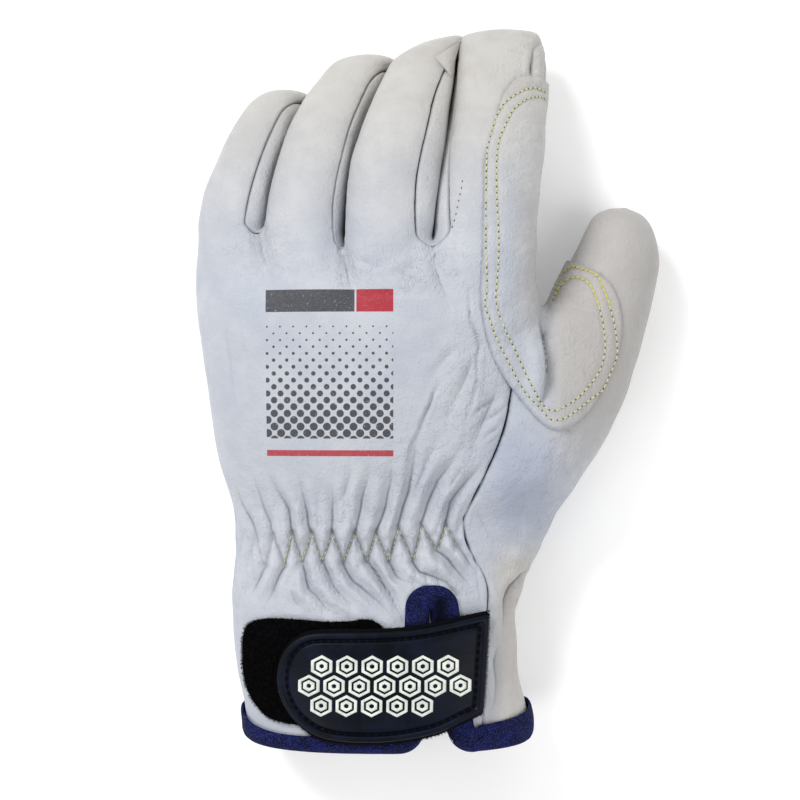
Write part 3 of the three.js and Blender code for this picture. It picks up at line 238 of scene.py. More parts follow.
# Where the back panel ends on the thumb side, by its x, and above it by angle
THUMB_SEAM = Table(
    "y x",
    (-112, 26.0),
    (-100, 26.2),
    (-68, 27.4),
    (-59, 27.8),
    (-53, 25.4),
    (-47, 21.6),
    (-38, 20.0),
    (-31, 22.8),
    (-23, 26.6),
    (-14, 30.6),
    (-5, 33.4),
    (7, 35.0),
)
CROTCH_SEAM = Table("y back palm", (7, 55, -42), (17, 34, -24), (27, 2, -2), (37, 28, 28), (48, 48, 48))
PALM_SEAM = Table("y angle", (-112, -58), (-60, -60), (-30, -62), (-10, -54), (7, -42))


# The hand's surface
def hand_row(y):
    return HAND.row_at(round(y, 2))


def hand_point(y, angle, side=0, lift=0.0):
    """Angle 0 is the thumb side and 90 the back. side is 1 for the back panel and -1 for the palm."""
    row = hand_row(y)
    c, s = cos_sin(angle)
    crown = row["crown"]
    side_height = row["right_side"] if c > 0 else row["left_side"]
    half_width = (row["right"] - crown if c > 0 else crown - row["left"]) + lift
    half_height = (row["top"] - side_height if s > 0 else side_height - row["bottom"]) + lift
    power = 2 / HAND_ROUNDNESS
    x = crown + half_width * signed_power(c, power)
    z = side_height + half_height * signed_power(s, power) + side * SEAM_GAP / 2
    return Vector((x, y, max(z, -lift, 0)))


def angle_at(y, x):
    row = hand_row(y)
    crown = row["crown"]
    half_width = row["right"] - crown if x > crown else crown - row["left"]
    reach = clamp((x - crown) / half_width, -1, 1)
    return math.degrees(math.acos(signed_power(reach, HAND_ROUNDNESS / 2)))


def finger_length(name):
    return FINGERS[name]["rows"].places[-1]


def finger_row(name, along):
    return FINGERS[name]["rows"].row_at(round(along, 2))


def finger_centre(name, along):
    row = finger_row(name, along)
    return Vector((row["x"], row["y"], row["z"]))


@lru_cache(maxsize=None)
def finger_at(name, y):
    """A finger's middle and half width where it crosses y, or None past its tip"""
    low, high = ROOT, finger_length(name)
    if y > finger_centre(name, high).y:
        return None
    for _ in range(14):
        middle = (low + high) / 2
        if finger_centre(name, middle).y < y:
            low = middle
        else:
            high = middle
    return finger_centre(name, low), finger_row(name, low)["w"]


def press_apart(name, neighbour, point, gap=FINGER_GAP):
    """Moves a finger's point back to its own side of the plane where it meets its neighbour."""
    y = round(point.y * 4) / 4
    own, other = finger_at(name, y), finger_at(neighbour, y)
    if not own or not other:
        return
    across = other[0] - own[0]
    across.y = 0
    meeting = own[0] + across * (own[1] / (own[1] + other[1]))
    across.normalize()
    offset = point - meeting
    offset.y = 0
    past = offset.dot(across) + gap / 2
    softened = -(math.hypot(past, PRESS_SOFTNESS) - past) / 2
    before_tip = finger_centre(neighbour, finger_length(neighbour)).y - point.y
    point += across * (softened - past) * smooth(before_tip, *PRESS_TIP_SPAN)


def finger_point(name, along, angle, side=0):
    """Angle 0 is the finger's thumb side and 90 its back."""
    length = finger_length(name)
    place = min(along, length)
    row = finger_row(name, place)
    line = (finger_centre(name, place + 0.5) - finger_centre(name, place - 0.5)).normalized()
    up = (Vector((0, 0, 1)) - line * line.z).normalized()
    across = line.cross(up)
    roll = math.radians(row["roll"])
    back = up * math.cos(roll) + across * math.sin(roll)
    lateral = line.cross(back)
    tip = FINGERS[name]["tip"]
    opening = clamp((length - place) / TIP_LENGTH)
    width_share = mix(tip["width"], 1, (1 - (1 - opening) ** 3) ** (1 / 3))
    height_share = mix(0.02, 1, math.sqrt(1 - (1 - opening) ** 2))
    power = 2 / FINGER_ROUNDNESS
    c, s = cos_sin(angle)
    sideways = row["w"] * width_share * signed_power(c, power)
    point = Vector((row["x"], row["y"], row["z"])) + lateral * sideways
    point += line * (sideways * tip["slant"] * smooth(place, length - 2 * TIP_LENGTH, length))
    point += back * (row["h"] * height_share * signed_power(s, power) + side * SEAM_GAP / 2)
    if along > 0:
        order = FINGER_ORDER.index(name)
        for neighbour in FINGER_ORDER[max(order - 1, 0) : order] + FINGER_ORDER[order + 1 : order + 2]:
            press_apart(name, neighbour, point)
    point.z = max(point.z, 0)
    return point


def seam_angle(name, along, column):
    """How far from a finger's side its seam lies: the seams close on the one round the tip."""
    full = PALM_SEAM_ANGLE if column == "palm" else finger_row(name, along)[column]
    return full * smooth(finger_length(name) - along, SEAM_RUN_OUT[1], SEAM_RUN_OUT[0])


GAP_ANGLE = math.degrees(SEAM_GAP / 2 / 13)  # half a seam's gap on a finger


def crotch_start(name, where, share):
    return FINGERS[name]["crotch"][where] + PALM_WEB_SHIFT * share


def crotch_point(gap, share, set_back=0.0):
    """A crotch between two fingers. share runs from its back edge, 0, to its palm edge, 1."""
    a, b = FINGER_ORDER[gap], FINGER_ORDER[gap + 1]
    along_a, along_b = crotch_start(a, "right", share), crotch_start(b, "left", share)
    angle_a = mix(seam_angle(a, along_a, "right_seam"), -PALM_SEAM_ANGLE, share)
    angle_b = mix(seam_angle(b, along_b, "left_seam"), -PALM_SEAM_ANGLE, share)
    start = finger_point(a, max(along_a, 0.01), angle_a)
    end = finger_point(b, max(along_b, 0.01), 180 - angle_b)
    point = (start + end) / 2
    point.y -= WEB_DEPTH + set_back
    return point


# The seams on the hand
def back_edge(y):
    turn = CROTCH_SEAM.places[0]
    if y <= turn:
        return angle_at(y, THUMB_SEAM.at("x", y))
    start = angle_at(turn, THUMB_SEAM.at("x", turn))
    offset = (start - CROTCH_SEAM.columns["back"][0]) * (1 - smooth(y, turn, turn + 10))
    return CROTCH_SEAM.at("back", y) + offset


def palm_edge(y):
    return PALM_SEAM.at("angle", y) if y <= CROTCH_SEAM.places[0] else CROTCH_SEAM.at("palm", y)


def hem_y(angle):
    s = math.sin(math.radians(angle))
    if s > 0:
        return mix(HEM["side"], HEM["middle"], math.sqrt(s))
    return mix(HEM["side"], HEM["palm"], abs(s))


def spaced_angles(y, start, end, count):
    """count + 1 angles on the hand's section at y, evenly spaced along its outline"""
    angles = np.linspace(start, end, 61)
    reach = reach_along([hand_point(y, angle) for angle in angles])
    return np.interp(np.linspace(0, reach[-1], count + 1), reach, angles)


# Sheets of quads
class Sheet:
    """Quads on a grid or several that share the places where they meet."""

    def __init__(self):
        self.index, self.points, self.quads = {}, [], []

    def corner(self, point):
        key = tuple(round(float(value), 3) for value in point)
        if key not in self.index:
            self.index[key] = len(self.points)
            self.points.append(tuple(point))
        return self.index[key]

    def grid(self, rows, skip=lambda r, c: False):
        ids = [[self.corner(point) for point in row] for row in rows]
        for r in range(len(ids) - 1):
            for c in range(len(ids[r]) - 1):
                quad = [ids[r][c], ids[r][c + 1], ids[r + 1][c + 1], ids[r + 1][c]]
                quad = [corner for i, corner in enumerate(quad) if corner != quad[i - 1]]
                if len(set(quad)) > 2 and not skip(r, c):
                    self.quads.append(quad)
        return self


def relaxed(grid, first, passes):
    """Evens out a grid from one row on, leaving its edges where they are."""
    for _ in range(passes):
        around = (grid[:-2, 1:-1] + grid[2:, 1:-1] + grid[1:-1, :-2] + grid[1:-1, 2:]) / 4
        change = (around - grid[1:-1, 1:-1]) * 0.5
        change[: first - 1] = 0
        grid[1:-1, 1:-1] += change


def crowded(share):
    """Places across a finger, closer together at its seams"""
    return share - 0.5 * math.sin(2 * math.pi * share) / (2 * math.pi)


COLUMNS = {
    "back": {"little": 16, "ring": 13, "middle": 13, "index": 14},
    "palm": {"little": 8, "ring": 7, "middle": 7, "index": 10},
}
CUFF_STEPS = {"back": 9, "palm": 6}
SLIT_COLUMN = 34
RELAX_FROM = 4  # the grid is evened out above this y
RELAX_PASSES = 6
# Rows above the cuff's slit, closer together over the gathers
HAND_RISES = {
    "back": [
        *np.linspace(0, 0.26, 20)[1:],
        *np.linspace(0.26, 0.7, 13)[1:],
        *np.linspace(0.7, 1, 12)[1:],
    ],
    "palm": list(np.linspace(0, 1, 25)[1:]),
}
FINGER_STEPS = {
    "back": [
        0, 0.02, 0.05, 0.1, 0.16, 0.23, 0.3, 0.38, 0.46, 0.54, 0.62, 0.7, 0.78, 0.84, 0.89, 0.93, 0.96, 0.98,
        0.993, 1,
    ],
    "palm": [0, 0.03, 0.09, 0.18, 0.28, 0.38, 0.48, 0.58, 0.68, 0.78, 0.86, 0.92, 0.96, 0.985, 1],
}


def finger_span(panel, name, along):
    """The span of angles that a panel covers on a finger, from its outer to its thumb edge"""

    def seam(column):
        return seam_angle(name, along, column) + GAP_ANGLE

    outer_seam = mix(180, OUTER_SEAM, seam("palm") / PALM_SEAM_ANGLE)
    if panel == "back":
        return outer_seam if name == "little" else 180 - seam("left_seam"), seam("right_seam")
    outer = outer_seam - 360 if name == "little" else -180 + seam("palm")
    return outer, seam("right_seam") - 2 * GAP_ANGLE if name == "index" else -seam("palm")


def column_start(panel, name, share):
    web = 1 if panel == "palm" else 0
    left = crotch_start(name, "left", 0.5 if name == "little" else web)
    right = crotch_start(name, "right", 0 if name == "index" else web)
    return mix(left, right, share)


def panel_finger_point(panel, name, column, step):
    count = COLUMNS[panel][name]
    order = FINGER_ORDER.index(name)
    web = 1 if panel == "palm" else 0
    if step == 0 and column == 0 and order > 0:
        return crotch_point(order - 1, web, SEAM_GAP)
    if step == 0 and column == count and order < 3:
        return crotch_point(order, web, SEAM_GAP)
    share = crowded(column / count)
    along = mix(column_start(panel, name, share), finger_length(name), step)
    outer, inner = finger_span(panel, name, along)
    return finger_point(name, along, mix(outer, inner, share), 1 if panel == "back" else -1)


def slit_edge(y, which):
    down = clamp((CUFF_SLIT["apex"] - y) / (CUFF_SLIT["apex"] - HEM["middle"]))
    middle = mix(CUFF_SLIT["apex_x"], CUFF_SLIT["hem_x"], down)
    return middle + which * mix(CUFF_SLIT["top_width"], CUFF_SLIT["hem_width"], down) / 2


@lru_cache(maxsize=None)
def panel_angles(panel, y, total):
    """The angles of a row's columns on the hand, with two of the back's on the slit's edges"""
    if panel == "palm":
        return spaced_angles(y, OUTER_SEAM - 360, palm_edge(y), total)
    even = spaced_angles(y, OUTER_SEAM, back_edge(y), total)
    share = 1 - smooth(y, CUFF_SLIT["apex"], CUFF_SLIT["apex"] + SLIT_RUN_OUT)
    if share == 0:
        return even
    left = spaced_angles(y, OUTER_SEAM, angle_at(y, slit_edge(y, -1)), SLIT_COLUMN)
    right = spaced_angles(y, angle_at(y, slit_edge(y, 1)), back_edge(y), total - SLIT_COLUMN - 1)
    return mix(even, np.concatenate([left, right]), share)


def comb_sheet(panel):
    """The comb-shaped sheet of the back or the palm: one hand part and four finger parts"""
    side = 1 if panel == "back" else -1
    columns = [
        (name, column)
        for name in FINGER_ORDER
        for column in range(0 if name == "little" else 1, COLUMNS[panel][name] + 1)
    ]
    total = len(columns) - 1
    knuckles = [panel_finger_point(panel, name, column, 0) for name, column in columns]
    cuff_steps = CUFF_STEPS[panel]
    places = [(True, r / cuff_steps) for r in range(cuff_steps + 1)]
    places += [(False, rise) for rise in HAND_RISES[panel]]

    def hand_place(c, in_cuff, rise):
        name, column = columns[c]
        top = knuckles[c]
        y = CUFF_SLIT["apex"]
        for _ in range(3):
            angle = panel_angles(panel, round(y, 2), total)[c]
            y = mix(hem_y(angle), CUFF_SLIT["apex"], rise) if in_cuff else mix(CUFF_SLIT["apex"], top.y, rise)
        blend = smooth(y, BLEND_START, top.y)
        on_hand = hand_point(y, angle, side)
        if blend == 0:
            return on_hand
        if rise == 1:
            return top
        share = crowded(column / COLUMNS[panel][name])
        climb = (y - BLEND_START) / (top.y - BLEND_START)
        along = mix(ROOT, column_start(panel, name, share), climb)
        outer, inner = finger_span(panel, name, along)
        on_finger = finger_point(name, along, mix(outer, inner, share), side)
        on_finger.y = mix(on_finger.y, y, 0.5)
        return on_hand.lerp(on_finger, blend)

    rows = np.array([[hand_place(c, *place) for c in range(total + 1)] for place in places])
    first = next(r for r, row in enumerate(rows) if row[total // 2][1] > RELAX_FROM)
    relaxed(rows, first, RELAX_PASSES)
    sheet = Sheet()
    sheet.grid(rows, lambda r, c: panel == "back" and r < cuff_steps and c == SLIT_COLUMN)
    for name in FINGER_ORDER:
        across = range(COLUMNS[panel][name] + 1)
        sheet.grid(
            [[panel_finger_point(panel, name, c, step) for c in across] for step in FINGER_STEPS[panel]]
        )
    return sheet


STRIP_SWELL = (2.0, 1.7, 3.7)  # how far each strip swells towards the other half of its gap
STRIP_OVERLAP = -1.6  # its lower part meets the other half, so that no floor shows between them
STRIP_OVERLAP_SPAN = (0.35, 0.65)  # the shares across the strip over which that comes in
STRIP_TIP_SPAN = (1, 9)  # the swelling runs out between these distances from the tip
STRIP_CROTCH_SPAN = (0, 10)
STRIP_COLUMNS = 8


def side_strip_sheet(gap):
    """The strip between two fingers: up one finger, round the crotch and up the next"""
    across = STRIP_COLUMNS
    a, b = FINGER_ORDER[gap], FINGER_ORDER[gap + 1]
    steps = [step for step in FINGER_STEPS["back"] if 0 < step < 0.97]

    def arm_row(name, where, step):
        row = []
        for i in range(across + 1):
            share = i / across
            along = mix(crotch_start(name, where, share), finger_length(name), step)
            top = seam_angle(name, along, where + "_seam") - 2 * GAP_ANGLE
            bottom = seam_angle(name, along, "palm") - 2.8 * GAP_ANGLE
            angle = mix(max(top, 1), -max(bottom, 1), share)
            point = finger_point(name, along, angle if where == "right" else 180 - angle)
            out = point - finger_centre(name, along)
            out.y = 0
            ends = smooth(finger_length(name) - along, *STRIP_TIP_SPAN) * smooth(along, *STRIP_CROTCH_SPAN)
            point += out.normalized() * STRIP_SWELL[gap] * math.sin(math.pi * share) * ends
            gap_here = mix(FINGER_GAP, STRIP_OVERLAP, smooth(share, *STRIP_OVERLAP_SPAN))
            press_apart(name, b if name == a else a, point, gap_here)
            row.append(point)
        return row

    web = [crotch_point(gap, mix(0.01, 0.97, i / across), -SEAM_GAP / 2) for i in range(across + 1)]
    up = [arm_row(a, "right", step) for step in steps]
    return Sheet().grid([*up[::-1], web, *[arm_row(b, "left", step) for step in steps]])


def evenly(points, count):
    """count + 1 points evenly spaced along a line of points"""
    points = np.array(points)
    reach = reach_along(points)
    want = np.linspace(0, reach[-1], count + 1)
    return np.stack([np.interp(want, reach, column) for column in points.T], axis=1)


def curve_through(points, between):
    """A smooth curve through points, with this many steps from each to the next"""
    points = np.array(points, dtype=float)
    ends = [2 * points[0] - points[1], 2 * points[-1] - points[-2]]
    padded = np.concatenate([[ends[0]], points, [ends[1]]])
    result = []
    for i in range(len(points) - 1):
        p = padded[i : i + 4]
        gaps = np.maximum(np.linalg.norm(np.diff(p, axis=0), axis=1) ** 0.5, 1e-4)
        start = (p[1] - p[0]) / gaps[0] - (p[2] - p[0]) / (gaps[0] + gaps[1]) + (p[2] - p[1]) / gaps[1]
        end = (p[2] - p[1]) / gaps[1] - (p[3] - p[1]) / (gaps[1] + gaps[2]) + (p[3] - p[2]) / gaps[2]
        start, end = start * gaps[1], end * gaps[1]
        result += [hermite(p[1], p[2], start, end, k / between) for k in range(between)]
    return np.array([*result, points[-1]])


THUMB_COLUMNS = 24
THUMB_BETWEEN = 4  # rows from each section to the next
THUMB_SECTION_STEPS = 48
THUMB_SEAM_REACH = 0.4  # the share of a section that is drawn to each of its seams
THUMB_HAND_STEPS = [0, 0.12, 0.26, 0.4, 0.54, 0.68, 0.84, 1]


def thumb_gap(y):
    """Degrees on either side of the thumb's seams"""
    return mix(0.05, 0.1, smooth(y, -5, 12))


def thumb_seam_point(y, which):
    angle = back_edge(y) - thumb_gap(y) if which == "top" else palm_edge(y) + thumb_gap(y)
    return hand_point(y, angle)


def thumb_hand_row(step):
    spread = []
    for share in np.linspace(0, 1, 41):
        y = THUMB_ROOT
        for _ in range(3):
            angle = mix(back_edge(y) - thumb_gap(y), palm_edge(y) + thumb_gap(y), share)
            y = mix(hem_y(angle), THUMB_ROOT, step)
        spread.append(hand_point(y, angle))
    return evenly(spread, THUMB_COLUMNS)


def thumb_row(row, last):
    yaw = math.radians(row["yaw"])
    lateral = Vector((math.cos(yaw), -math.sin(yaw), 0))
    power = 2 / (2 if row["top_seam"] is None else FINGER_ROUNDNESS)
    count = THUMB_SECTION_STEPS
    points = []
    for i in range(count + 1):
        angle = math.radians(mix(row["start"], row["end"], i / count))
        width = row["w"] * (0.5 if last else 1) * signed_power(math.cos(angle), power)
        height = row["h"] * (0 if last else 1) * signed_power(math.sin(angle), power)
        points.append(Vector((row["x"], row["y"], row["z"])) + lateral * width + Vector((0, 0, height)))
    if row["top_seam"] is not None:
        reach = THUMB_SEAM_REACH
        top = thumb_seam_point(row["top_seam"], "top") - points[0]
        bottom = thumb_seam_point(row["bottom_seam"], "bottom") - points[count]
        for i, point in enumerate(points):
            point += top * max(1 - i / count / reach, 0) ** 2
            point += bottom * max(1 - (1 - i / count) / reach, 0) ** 2
    for point in points:
        point.z = max(point.z, 0)
    return evenly(points, THUMB_COLUMNS)


def thumb_sheet():
    rows = THUMB.rows()
    keys = [thumb_hand_row(step) for step in THUMB_HAND_STEPS]
    keys += [thumb_row(row, row is rows[-1]) for row in rows]
    lines = [curve_through([row[c] for row in keys], THUMB_BETWEEN) for c in range(THUMB_COLUMNS + 1)]
    grid = np.stack(lines, axis=1)
    free = next(i for i, row in enumerate(rows) if row["top_seam"] is None)
    closed = (len(THUMB_HAND_STEPS) + free) * THUMB_BETWEEN
    last_sewn = closed - THUMB_BETWEEN
    for row in grid[:last_sewn]:
        row[0] = thumb_seam_point(row[0][1], "top")
        row[-1] = thumb_seam_point(row[-1][1], "bottom")
    grid[closed:, -1] = grid[closed:, 0]
    grid[-1, THUMB_COLUMNS // 2 + 1 :] = grid[-1, : THUMB_COLUMNS // 2][::-1]
    grid[:, :, 2] = np.maximum(grid[:, :, 2], 0)
    return Sheet().grid(grid)


# Surfaces with numpy
class Surface:
    """Points, and faces of three or four corners each"""

    def __init__(self, points, faces):
        self.points = np.array(points, dtype=float)
        self.faces = faces
        self.rough_faces = faces

    def triangles(self):
        return np.array([[f[0], f[i - 1], f[i]] for f in self.faces for i in range(2, len(f))])

    def at_corners(self, tri, ways):
        """The triangles' ways out added up at their corners, at length 1"""
        total = np.zeros_like(self.points)
        for i in range(3):
            np.add.at(total, tri[:, i], ways)
        return total / np.maximum(np.linalg.norm(total, axis=1), 1e-9)[:, None]

    def normals(self):
        tri = self.triangles()
        a, b, c = (self.points[tri[:, i]] for i in range(3))
        return self.at_corners(tri, np.cross(b - a, c - a))

    def steady_normals(self):
        """Normals evened out with those beside them, for the corners where seams meet"""
        tri = self.triangles()
        normals = self.normals()
        for _ in range(2):
            normals = self.at_corners(tri, normals[tri].mean(axis=1))
        return normals

    def turned(self):
        """The same surface with its faces the other way round"""
        self.faces = [face[::-1] for face in self.faces]
        self.rough_faces = [face[::-1] for face in self.rough_faces]
        return self

    def boundary(self, rough=False):
        """The edges that only one face has"""
        faces = self.rough_faces if rough else self.faces
        edges = {(f[i - 1], f[i]) for f in faces for i in range(len(f))}
        return sorted(edge for edge in edges if (edge[1], edge[0]) not in edges)

    def edge_distance(self):
        """Each point's distance from the surface's edge"""
        ends = [(self.points[a], self.points[b]) for a, b in self.boundary()]
        tree = tree_of([mix(a, b, k / 3) for a, b in ends for k in range(3)])
        return np.array([tree.find(point)[2] for point in self.points])

    def tree(self):
        return BVHTree.FromPolygons([Vector(p) for p in self.points], self.faces)


def tree_of(points):
    tree = KDTree(len(points))
    for i, point in enumerate(points):
        tree.insert(point, i)
    tree.balance()
    return tree


# Places inside the glove, which tell a surface's outside from its inside
core = [(hand_row(y)["crown"] + x, y, 22) for y in range(-110, 45, 5) for x in range(-30, 31, 10)]
core += [finger_centre(name, along) for name in FINGER_ORDER for along in range(0, finger_length(name), 3)]
core += [(row["x"], row["y"], row["z"]) for row in THUMB.rows()[1:]]
CORE = tree_of(core)


def turned_outward(surface):
    """The surface with its faces pointing away from the hand"""
    points = surface.points
    total = 0.0
    for face in surface.faces[::7]:
        corners = points[face[:3]]
        middle = corners.mean(axis=0)
        normal = np.cross(corners[1] - corners[0], corners[2] - corners[0])
        total += normal.dot(middle - np.array(CORE.find(middle)[0]))
    return surface.turned() if total < 0 else surface


def placed(name, data):
    """A new object in the scene"""
    made = bpy.data.objects.new(name, data)
    bpy.context.scene.collection.objects.link(made)
    return made


def divided(sheet, levels):
    mesh = bpy.data.meshes.new("cage")
    mesh.from_pydata(sheet.points, [], sheet.quads)
    cage = placed("cage", mesh)
    modifier = cage.modifiers.new("fine", "SUBSURF")
    modifier.levels = levels
    modifier.boundary_smooth = "PRESERVE_CORNERS"
    fine = cage.evaluated_get(bpy.context.evaluated_depsgraph_get()).to_mesh()
    points = np.zeros(len(fine.vertices) * 3)
    fine.vertices.foreach_get("co", points)
    corners = np.zeros(len(fine.loops), dtype=int)
    fine.loops.foreach_get("vertex_index", corners)
    faces = corners.reshape(-1, 4).tolist()
    bpy.data.objects.remove(cage)
    bpy.data.meshes.remove(mesh)
    return Surface(points.reshape(-1, 3), faces)


def subdivided(sheet, levels):
    """The sheet subdivided. It also keeps the faces of one level less, for its hidden inner side."""
    surface = divided(sheet, levels)
    if levels == 1:
        return turned_outward(surface)
    rough = divided(sheet, levels - 1)
    tree = tree_of(surface.points)
    same = [tree.find(point)[1] for point in rough.points]
    surface.rough_faces = [[same[i] for i in face] for face in rough.faces]
    return turned_outward(surface)


def rolled_in(surface, radius):
    """Turns a sewn edge in on a round of that radius and puckers it. Returns the edge distances."""
    near = surface.edge_distance()
    away = np.clip(1 - near / radius, 0, 1)
    depth = radius * (1 - np.sqrt(1 - away**2 * 0.98))
    ruffle = noise_at(surface.points, PUCKER["size"], 21)
    depth += PUCKER["depth"] * (0.4 + ruffle) * np.exp(-near / PUCKER["reach"])
    surface.points -= surface.steady_normals() * depth[:, None]
    return near


INNER_FLOOR = 0.2  # a wall's inner side stays this far above the surface that the glove lies on


def thickened(surface, thickness):
    """The closed wall below a surface. Its rim has the surface's edge and the rougher inner one."""
    used = sorted({i for face in surface.rough_faces for i in face})
    inner = (surface.points - surface.steady_normals() * thickness)[used]
    inner[:, 2] = np.maximum(inner[:, 2], INNER_FLOOR)
    below = {i: len(surface.points) + k for k, i in enumerate(used)}
    faces = list(surface.faces)
    faces += [[below[i] for i in face[::-1]] for face in surface.rough_faces]
    ahead = dict(surface.boundary())
    for a, b in surface.boundary(rough=True):
        rim = [a]
        while rim[-1] != b:
            rim.append(ahead[rim[-1]])
        faces.append([*rim[::-1], below[a], below[b]])
    return Surface(np.concatenate([surface.points, inner]), faces)


def noise_at(points, size, seed):
    """Smooth noise of about that wavelength, from -1 to 1"""
    offset = Vector((seed * 17.3, seed * 7.1, seed * 3.7))
    return np.array([noise.noise(Vector(p) / size + offset) for p in points])


def make_object(name, surface, material, node=None, attributes=None, sharp=50):
    mesh = bpy.data.meshes.new(name)
    mesh.from_pydata((surface.points / 1000).tolist(), [], surface.faces)
    for key, values in (attributes or {}).items():
        layer = mesh.attributes.new(key, "FLOAT", "POINT")
        layer.data.foreach_set("value", np.resize(values, len(mesh.vertices)).astype(np.float32))
    mesh.materials.append(material)
    mesh.shade_smooth()
    mesh.set_sharp_from_angle(angle=math.radians(sharp))
    piece = placed(name, mesh)
    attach(piece, "root")
    if node:
        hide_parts(node)


# Materials
class Shader:
    """A material whose nodes are made by name and linked by their sockets"""

    def __init__(self, slot, **settings):
        self.material = bpy.data.materials.new(slot)
        self.material["slot"] = slot
        self.material.use_nodes = True
        self.tree = self.material.node_tree
        self.surface = self.tree.nodes["Principled BSDF"]
        for name, value in settings.items():
            self.surface.inputs[name.replace("_", " ")].default_value = value

    def node(self, kind, settings=None, **inputs):
        made = self.tree.nodes.new("ShaderNode" + kind)
        for name, value in (settings or {}).items():
            setattr(made, name, value)
        for name, value in inputs.items():
            self.set(made, name.replace("_", " "), value)
        return made

    def set(self, made, name, value):
        socket = made.inputs[name]
        if isinstance(value, bpy.types.NodeSocket):
            self.tree.links.new(value, socket)
        else:
            socket.default_value = value

    def math(self, operation, *values):
        made = self.node("Math", {"operation": operation})
        for i, value in enumerate(values):
            self.set(made, i, value)
        return made.outputs[0]

    def ramp(self, value, low, high, start=0.0, end=1.0):
        made = self.node("MapRange", {"interpolation_type": "SMOOTHSTEP"}, Value=value)
        for name, number in {"From Min": low, "From Max": high, "To Min": start, "To Max": end}.items():
            self.set(made, name, number)
        return made.outputs["Result"]

    def within(self, value, low, high, edge=0.12):
        """1 where value lies between low and high, with soft edges"""
        return self.product(self.ramp(value, low, low + edge), self.ramp(value, high, high - edge))

    def product(self, *values):
        return reduce(lambda a, b: self.math("MULTIPLY", a, b), values)

    def highest(self, *values):
        return reduce(lambda a, b: self.math("MAXIMUM", a, b), values)

    def axes(self, place):
        return self.node("SeparateXYZ", Vector=place).outputs

    def attribute(self, name):
        return self.node("Attribute", {"attribute_name": name}).outputs["Fac"]

    def wave(self, place, direction, distortion):
        made = self.node("TexWave", {"bands_direction": direction}, Vector=place, Distortion=distortion)
        self.set(made, "Scale", 1.1)
        return made.outputs["Fac"]

    def mixed(self, share, a, b):
        made = self.node("Mix", {"data_type": "RGBA"})
        for socket, value in ((0, share), (6, a), (7, b)):
            self.set(made, socket, value)
        return made.outputs[2]

    def tones(self, share, dark, light):
        return self.mixed(share, colour(dark), colour(light))

    def millimetres(self, scale=(1, 1, 1), turn=0.0):
        place = self.node("TexCoord").outputs["Object"]
        mapping = self.node("Mapping", Vector=place)
        mapping.inputs["Rotation"].default_value = (0, 0, turn)
        mapping.inputs["Scale"].default_value = tuple(1000 * value for value in scale)
        return mapping.outputs[0]

    def noise(self, place, size, detail=2.0, roughness=0.5):
        made = self.node("TexNoise", Vector=place, Scale=1 / size, Detail=detail, Roughness=roughness)
        return made.outputs[0]

    def crease_net(self, place, size):
        """Thin irregular creases between flat fields: 0 in a crease and 1 between them"""
        bend = self.node("TexNoise", Vector=place, Scale=0.8 / size, Detail=2.0).outputs[1]
        bent = self.node("VectorMath", {"operation": "MULTIPLY_ADD"})
        for socket, value in ((0, bend), (1, (size, size, size)), (2, place)):
            self.set(bent, socket, value)
        bent = bent.outputs[0]
        cells = self.node("TexVoronoi", {"feature": "DISTANCE_TO_EDGE"}, Vector=bent, Scale=1 / size)
        return self.ramp(cells.outputs["Distance"], 0, 0.3)

    def bump(self, height, distance, strength=1.0, normal=None):
        made = self.node("Bump", Height=height, Distance=distance / 1000, Strength=strength)
        if normal:
            self.set(made, "Normal", normal)
        return made.outputs[0]

    def finish(self, base=None, roughness=None, normal=None):
        for name, value in (("Base Color", base), ("Roughness", roughness), ("Normal", normal)):
            if value is not None:
                self.set(self.surface, name, value)
        return self.material


def colour(code):
    """Linear colour of an sRGB code"""
    values = [int(code[i : i + 2], 16) / 255 for i in (0, 2, 4)]
    return (*[v / 12.92 if v <= 0.04045 else ((v + 0.055) / 1.055) ** 2.4 for v in values], 1)


# The print on the back of the hand, in generic marks
PRINT = {
    "left": -41.5,
    "right": -2.0,
    "dots": (-12.0, 24.0),
    "dot_pitch": 2.9,
    "dot_radius": (0.44, 0.1),  # at the field's lower and upper edge, as shares of the pitch
    "bar": (27.0, 34.0),
    "split": -14.0,
    "split_width": 0.7,
    "rule": (-17.5, -15.5),
    "height": (30, 32),  # it comes in over these, so that the palm side has none
}
INK = "35363B"
RED_INK = "A52C38"


def with_print(shader, base):
    """A field of dots that grow towards the cuff, below a bar in two colours and above a thin rule"""
    place = shader.millimetres()
    x, y, z = shader.axes(place)
    columns = shader.within(x, PRINT["left"], PRINT["right"])
    u, v, _ = shader.axes(shader.millimetres((1 / PRINT["dot_pitch"],) * 3, math.radians(45)))
    offsets = [shader.math("SUBTRACT", shader.math("FRACT", value), 0.5) for value in (u, v)]
    reach = shader.math("SQRT", shader.math("ADD", *[shader.product(offset, offset) for offset in offsets]))
    radius = shader.ramp(y, *PRINT["dots"], *PRINT["dot_radius"])
    dot = shader.ramp(shader.math("SUBTRACT", radius, reach), -0.03, 0.03)
    dots = shader.product(dot, columns, shader.within(y, *PRINT["dots"]))
    split = shader.within(x, PRINT["split"], PRINT["split"] + PRINT["split_width"])
    bar = shader.product(columns, shader.within(y, *PRINT["bar"]), shader.math("SUBTRACT", 1.0, split))
    rule = shader.product(columns, shader.within(y, *PRINT["rule"]))
    worn = shader.ramp(shader.noise(place, 0.7, 3, 0.7), 0.28, 0.4, 0.35, 0.94)
    worn = shader.product(shader.ramp(z, *PRINT["height"]), worn)
    base = shader.mixed(shader.product(shader.highest(dots, bar), worn), base, colour(INK))
    red_bar = shader.product(bar, shader.ramp(x, PRINT["split"], PRINT["split"] + 0.1))
    return shader.mixed(shader.product(shader.highest(red_bar, rule), worn), base, colour(RED_INK))


